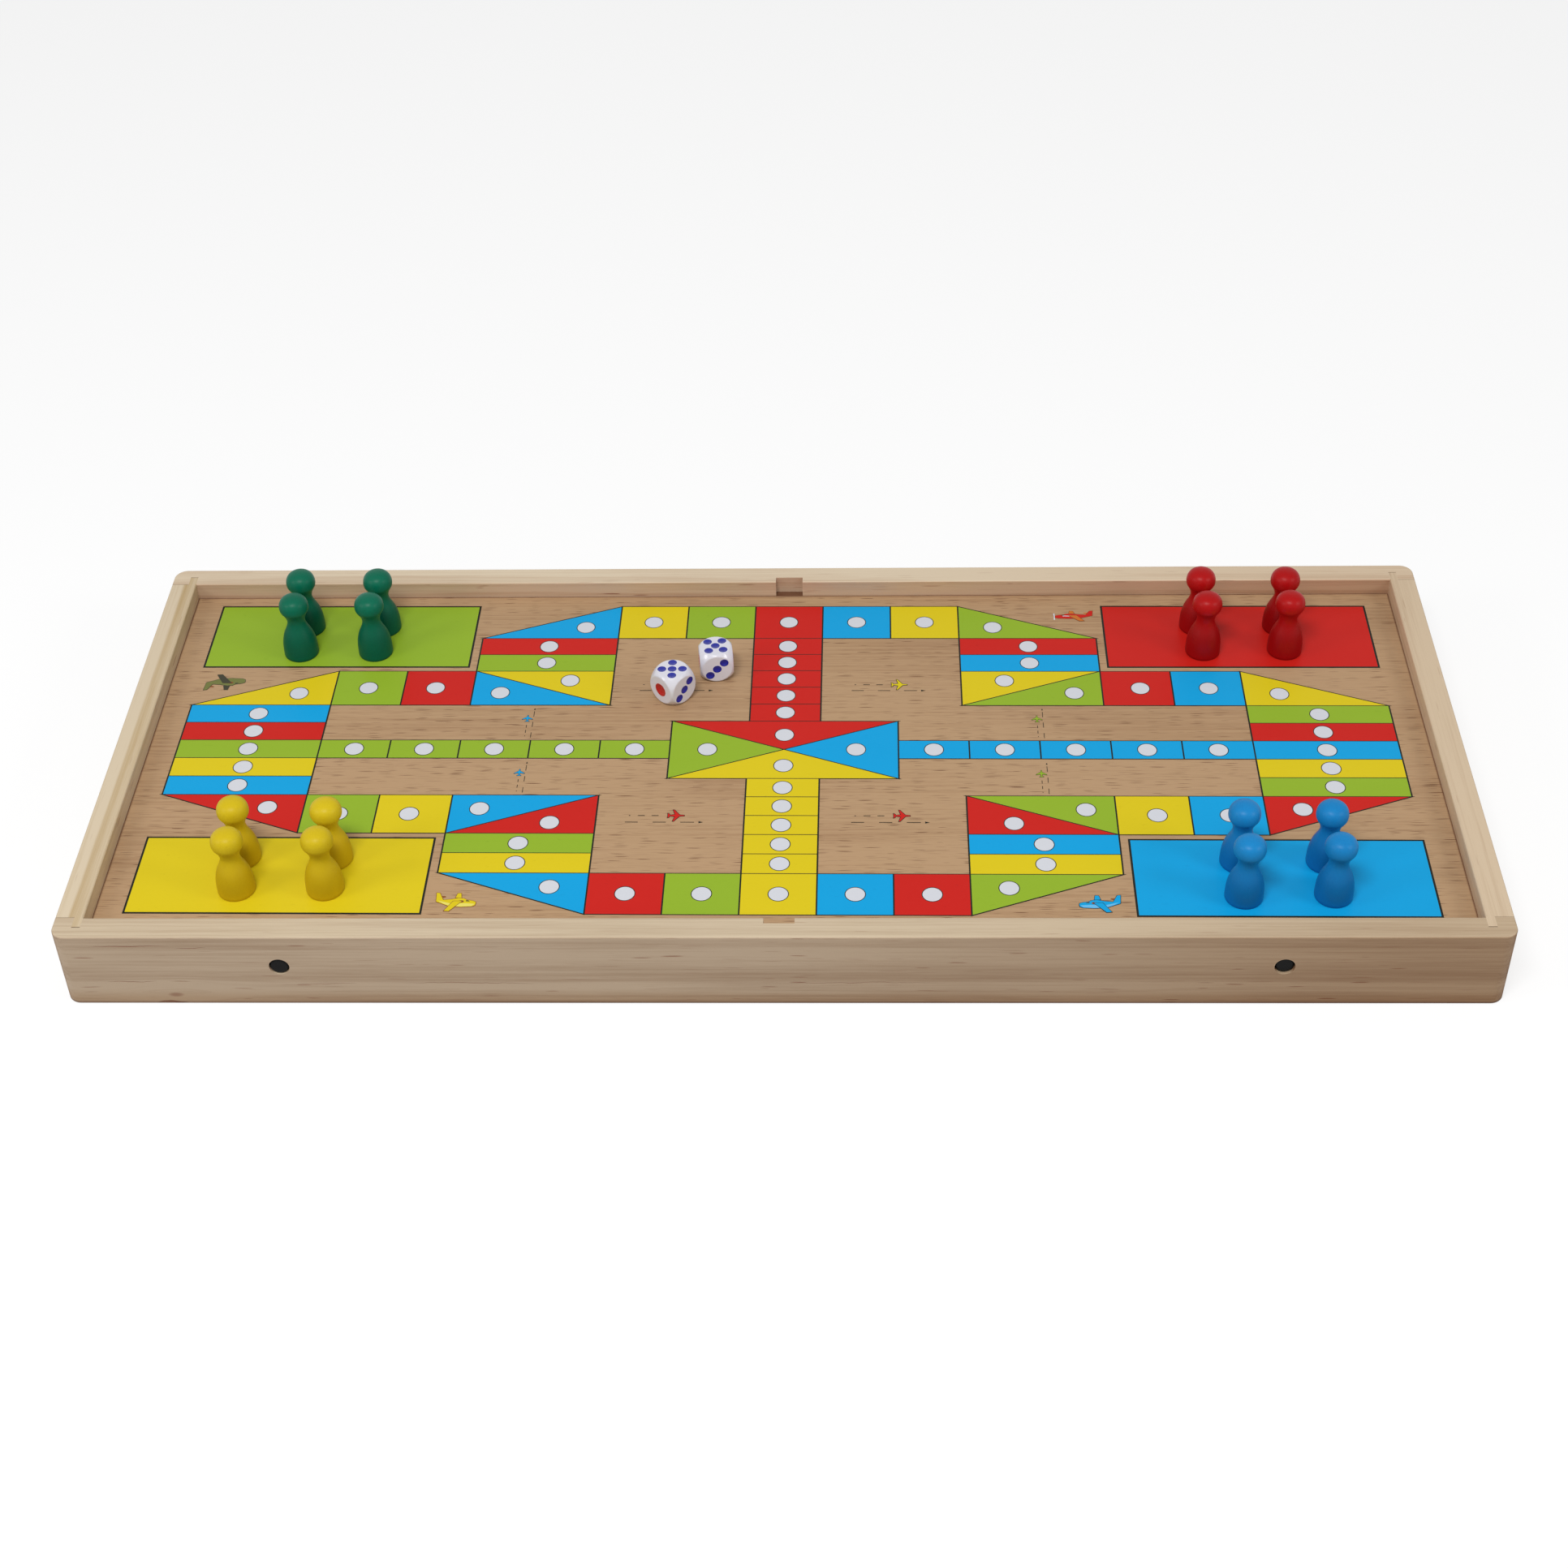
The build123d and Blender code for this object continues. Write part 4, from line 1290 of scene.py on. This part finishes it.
@dataclass
class CordSling:
    """One elastic cord, held by its stops in the long rails; players draw it back by its middle."""

    side: Side
    cord_x: float = 193.3
    level: float = 20.2
    diameter: float = 3.0
    half_length: float = 115.5
    inner_half: float = 109.0
    facets: int = 24
    rings: int = 72
    braid_pitch: float = 2.4

    def half(self, name: str, sign: int, material: Material) -> None:
        """Make one half of the cord, from its stop to the middle of the court.

        Args:
            name: The piece's name.
            sign: -1 for the front half and 1 for the back one.
            material: The braid.
        """
        radius, length = self.diameter / 2 * MM, self.half_length * MM
        mesh = turned([(0.0, 0.0), (radius, 0.0), (radius, length), (0.0, length)], self.facets)
        long_edges = [e for e in mesh.edges if abs(e.verts[0].co.z - e.verts[1].co.z) > length / 2]
        bmesh.ops.subdivide_edges(mesh, edges=long_edges, cuts=self.rings, use_grid_fill=True)
        self.wrap(mesh)
        x, z = self.side.value * self.cord_x * MM, self.level * MM
        place = Matrix.Translation((x, 0.0, z)) @ Matrix.Rotation(-sign * math.pi / 2, 4, "X")
        bmesh.ops.transform(mesh, matrix=place, verts=mesh.verts)
        piece = new_piece(name, mesh, [material], smooth=True)
        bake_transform(piece)
        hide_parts(f"{self.side.name.lower()}_cord")

    def wrap(self, mesh: Shape) -> None:
        """Lay the UV map round the cord: once round along U, one braid pitch along V.

        Args:
            mesh: The cord's half, still upright about Z.
        """
        layer = mesh.loops.layers.uv.new("wrap")
        for each in mesh.faces:
            shares = [math.atan2(loop.vert.co.y, loop.vert.co.x) / (2 * math.pi) % 1.0 for loop in each.loops]
            crosses = max(shares) - min(shares) > 0.5
            for loop, share in zip(each.loops, shares):
                u = share + 1.0 if crosses and share < 0.5 else share
                loop[layer].uv = (u, loop.vert.co.z / (self.braid_pitch * MM))

    def build(self, braid: Material) -> None:
        """Make both halves of the cord.

        Args:
            braid: The braid's material.
        """
        name = self.side.name.lower()
        self.half(f"{name}_cord_front_half", -1, braid)
        self.half(f"{name}_cord_back_half", 1, braid)


@dataclass
class CordStops:
    """The soft black plugs in the rails' counterbores."""

    finish: FilmFinish = FilmFinish(
        tone(6, 6, 6), tone(14, 13, 13), 0.45, mottle=0.4, relief=0.05, gloss=0.12
    )

    def dress(self) -> None:
        """Give the four stops their rubber."""
        rubber = self.finish.material("black_rubber")
        for side in Side:
            for end in ("front", "back"):
                dress(f"{side.name.lower()}_{end}_cord_stop", rubber)


@dataclass
class PuckSet:
    """Ten turned pucks, five pale and five dark."""

    per_side: int = 5
    light: WoodFinish = WoodFinish(
        tone(222, 196, 156), tone(190, 156, 114), tone(140, 98, 64), seed=21.0, ring_pitch=3.5
    )
    dark: WoodFinish = WoodFinish(
        tone(112, 72, 48), tone(78, 48, 32), tone(46, 27, 18), seed=27.0, ring_pitch=3.0
    )

    def dress(self) -> None:
        """Give each side's pucks their wood."""
        woods = {Side.LEFT: self.light.material("light_puck"), Side.RIGHT: self.dark.material("dark_puck")}
        for side, wood in woods.items():
            for number in range(1, self.per_side + 1):
                dress(f"{side.name.lower()}_puck_{number}", wood)


@dataclass
class PawnSet:
    """Sixteen lacquered pawns, four of each colour."""

    # Darker towards the foot, and painted shade on the body below the head; lengths in millimetres.
    dark_band: Triple = (28.3, 2.2, 0.55)
    sag: Triple = (50.3, 38.3, 0.5)
    places: tuple[str, ...] = ("front_left", "front_right", "back_left", "back_right")
    # Each colour's film and its darker tone, which mottles it and carries the painted body shade.
    paints: Mapping[str, tuple[Colour, Colour]] = field(
        default_factory=lambda: {
            "green": (tone(8, 110, 84), tone(1, 66, 44)),
            "red": (tone(182, 16, 18), tone(116, 3, 6)),
            "yellow": (tone(216, 192, 30), tone(176, 140, 4)),
            "blue": (tone(28, 138, 204), tone(4, 82, 142)),
        }
    )

    def dress(self) -> None:
        """Give each colour its lacquer, with painted shade on the body and darker towards the foot."""
        surface = {"roughness": 0.36, "mottle": 0.5, "specks": 0.2, "relief": 0.03, "gloss": 0.14}
        for colour, (film, shade) in self.paints.items():
            finish = FilmFinish(film, shade, dark_band=self.dark_band, sag=self.sag, **surface)
            lacquer = finish.material(f"lacquer_{colour}")
            for place in self.places:
                dress(f"{colour}_pawn_{place}", lacquer)


@dataclass
class DicePair:
    """Two moulded dice with painted pips in their dimples."""

    size: float = 14.5
    spread_share: float = 0.215
    pip: Point = (3.4, 0.45)
    single: Point = (5.8, 0.75)
    paint: float = 0.05
    seat: float = 0.04
    lip: float = 0.2
    lip_height: float = 0.02
    facets: int = 28
    single_facets: int = 40
    arc_steps: int = 5
    unit: Point = (30.165, 11.788)
    print_shift: Point = (-0.4, 0.6)
    board_top: float = 28.2
    dice: Mapping[str, Triple] = field(
        default_factory=lambda: {"left_die": (-1.598, 3.10, 46.0), "right_die": (-1.008, 4.47, 7.0)}
    )
    faces: tuple[tuple[Point, Outline], ...] = (
        ((0, 0), ((0, 0), (1, 1), (1, -1), (-1, 1), (-1, -1))),
        ((180, 0), ((1, 1), (-1, -1))),
        ((90, 0), ((0, 0), (1, 1), (-1, -1))),
        ((-90, 0), ((1, 1), (1, -1), (-1, 1), (-1, -1))),
        ((0, 90), ((1, 1), (1, 0), (1, -1), (-1, 1), (-1, 0), (-1, -1))),
    )

    def lens(self, diameter: float, depth: float, steps: int) -> Shape:
        """Make the paint of one dimple about the middle of its face.

        Args:
            diameter: The dimple's width.
            depth: The dimple's depth.
            steps: Facets round the lens.

        Returns:
            A thin closed cup that lines the dimple.
        """
        ball = (diameter * diameter / 4 + depth * depth) / (2 * depth)
        middle = self.size / 2 + ball - depth
        rim = math.asin(diameter / 2 / ball)
        angles = [rim * index / self.arc_steps for index in range(self.arc_steps + 1)]
        under, over = (
            [(math.sin(angle) * radius * MM, (middle - math.cos(angle) * radius) * MM) for angle in angles]
            for radius in (ball + self.seat, ball - self.paint)
        )
        edge, low, high = diameter / 2 + self.lip, self.size / 2 - self.seat, self.size / 2 + self.lip_height
        skirt = [(edge * MM, low * MM), (edge * MM, high * MM), (diameter / 2 * MM, high * MM)]
        return turned(under + skirt + over[-2::-1], steps)

    def build(self) -> None:
        """Mould both dice and paint their pips."""
        smooth = {"mottle": 0.3, "specks": 0.1, "relief": 0.01, "coat": 0.3}
        plastic = FilmFinish(tone(220, 219, 228), tone(202, 199, 213), 0.16, **smooth).material("die_plastic")
        blue = FilmFinish(tone(14, 30, 158), tone(6, 10, 92), 0.2, mottle=0.5).material("pip_blue")
        red = FilmFinish(tone(190, 24, 26), tone(140, 10, 14), 0.25, mottle=0.6).material("pip_red")
        spread = self.size * self.spread_share * MM
        for name, (unit_x, unit_y, turn) in self.dice.items():
            dress(name, plastic)
            x, y = unit_x * self.unit[0] + self.print_shift[0], unit_y * self.unit[1] + self.print_shift[1]
            middle = Vector((x, y, self.board_top + self.size / 2)) * MM
            stand = Matrix.Translation(middle) @ Matrix.Rotation(math.radians(turn), 4, "Z")
            cups = []
            for (about_x, about_y), places in self.faces:
                face = Matrix.Rotation(math.radians(about_x), 4, "X")
                face = face @ Matrix.Rotation(math.radians(about_y), 4, "Y")
                for share_x, share_y in places:
                    cup = self.lens(*self.pip, self.facets)
                    shift = Matrix.Translation((share_x * spread, share_y * spread, 0.0))
                    bmesh.ops.transform(cup, matrix=stand @ face @ shift, verts=cup.verts)
                    cups.append(cup)
            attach(new_piece(f"{name}_blue_pips", joined(cups), [blue], smooth=True), name)
            big = self.lens(*self.single, self.single_facets)
            left_face = Matrix.Rotation(math.radians(-90), 4, "Y")
            bmesh.ops.transform(big, matrix=stand @ left_face, verts=big.verts)
            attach(new_piece(f"{name}_red_pip", big, [red], smooth=True), name)


@dataclass(frozen=True)
class Lamp:
    """A soft rectangular light that faces the tray: its place and sides in metres, its power in watts."""

    name: str
    place: Triple
    sides: Point
    power: float

    def hang(self) -> None:
        """Hang the light in the scene."""
        data = bpy.data.lights.new(self.name, "AREA")
        data.shape = "RECTANGLE"
        data.size, data.size_y = self.sides
        data.energy = self.power
        light = bpy.data.objects.new(self.name, data)
        light.location = self.place
        light.rotation_euler = (-Vector(self.place)).to_track_quat("-Z", "Y").to_euler()
        bpy.context.scene.collection.objects.link(light)


@dataclass
class Studio:
    """A white table, soft light from above and the camera."""

    floor_side: float = 30.0
    floor_cells: int = 8
    floor_grey: Colour = tone(160, 160, 160)
    shadow_share: float = 0.3
    glow: float = 0.72
    sky_strength: float = 0.35
    lamps: tuple[Lamp, ...] = (
        Lamp("key", (-0.2, -0.75, 1.4), (0.6, 0.3), 13.5),
        Lamp("left_window", (-1.1, -0.5, 0.75), (0.4, 0.4), 3.0),
        Lamp("right_window", (1.1, -0.45, 0.75), (0.4, 0.4), 3.4),
    )
    camera_place: Triple = (0.028059, -0.792052, 0.690543)
    pitch: float = 0.709717
    yaw: float = -0.036320
    roll: float = -0.025706
    lens: float = 56.597
    sensor: float = 36.0

    @staticmethod
    def seen(desk: NodeDesk) -> Socket:
        """Mask what the camera sees, straight, mirrored or through glass.

        Args:
            desk: The desk of the material or the world.

        Returns:
            The mask.
        """
        path = desk.add("ShaderNodeLightPath", {}).outputs
        seen = desk.math("MAXIMUM", path["Is Camera Ray"], path["Is Glossy Ray"])
        return desk.math("MAXIMUM", seen, path["Is Transmission Ray"])

    def floor(self) -> None:
        """Lay a plain white table that keeps the tray's soft shadow."""
        mesh = bmesh.new()
        cells = {"x_segments": self.floor_cells, "y_segments": self.floor_cells}
        bmesh.ops.create_grid(mesh, size=self.floor_side / 2, **cells)
        material, desk, _ = new_material("white_table")
        seen = self.seen(desk)
        plain = desk.add("ShaderNodeBsdfDiffuse", {"Color": self.floor_grey})
        half = desk.add("ShaderNodeBsdfDiffuse", {"Color": (*[self.shadow_share] * 3, 1.0)})
        glow = desk.add("ShaderNodeEmission", {"Color": (1.0, 1.0, 1.0, 1.0), "Strength": self.glow})
        bright = desk.add("ShaderNodeAddShader", {0: half.outputs[0], 1: glow.outputs[0]})
        chosen = desk.add("ShaderNodeMixShader", {0: seen, 1: plain.outputs[0], 2: bright.outputs[0]})
        desk.add("ShaderNodeOutputMaterial", {"Surface": chosen.outputs[0]})
        new_piece("white_table", mesh, [material])

    def world(self) -> None:
        """Surround the tray with even white light."""
        world = bpy.data.worlds.new("white_room")
        bpy.context.scene.world = world
        world.use_nodes = True
        world.node_tree.nodes.clear()
        desk = NodeDesk(world.node_tree)
        strength = desk.remap(self.seen(desk), (0.0, 1.0), (self.sky_strength, 1.0))
        sky = desk.add("ShaderNodeBackground", {"Color": (1.0, 1.0, 1.0, 1.0), "Strength": strength})
        desk.add("ShaderNodeOutputWorld", {"Surface": sky.outputs[0]})

    def camera(self) -> None:
        """Stand the camera where the photograph was taken from."""
        reach = math.cos(self.pitch)
        ahead = Vector((math.sin(self.yaw) * reach, math.cos(self.yaw) * reach, -math.sin(self.pitch)))
        level = Vector((math.cos(self.yaw), -math.sin(self.yaw), 0.0))
        upright = level.cross(ahead)
        right = math.cos(self.roll) * level + math.sin(self.roll) * upright
        up = -math.sin(self.roll) * level + math.cos(self.roll) * upright
        data = bpy.data.cameras.new("view")
        data.lens, data.sensor_width = self.lens, self.sensor
        camera = bpy.data.objects.new("view", data)
        turn = Matrix((right, up, -ahead)).transposed().to_4x4()
        camera.matrix_world = Matrix.Translation(self.camera_place) @ turn
        bpy.context.scene.collection.objects.link(camera)
        bpy.context.scene.camera = camera

    def build(self) -> None:
        """Set up the table, the light and the camera."""
        self.floor()
        self.world()
        for lamp in self.lamps:
            lamp.hang()
        self.camera()
        bpy.context.scene.view_settings.view_transform = "Standard"


def corners(box: Sequence[Vector]) -> list[list[float]]:
    """Turn a box's two corners into plain lists."""
    return [list(corner) for corner in box]


def main() -> None:
    """Dress the tray, add its small pieces and set up the studio."""
    logging.basicConfig(level=logging.INFO, format="%(name)s: %(message)s")
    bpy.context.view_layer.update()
    RailFrame().dress()
    FlatBoards().dress()
    board = PrintedBoard()
    board.dress()
    FlightMarks(board).build()
    CornerAircraft(board).build()
    CordStops().dress()
    braid = BraidFinish().material("braided_elastic")
    for side in Side:
        CordSling(side).build(braid)
    PuckSet().dress()
    PawnSet().dress()
    DicePair().build()
    Studio().build()


if __name__ == "__main__":
    main()
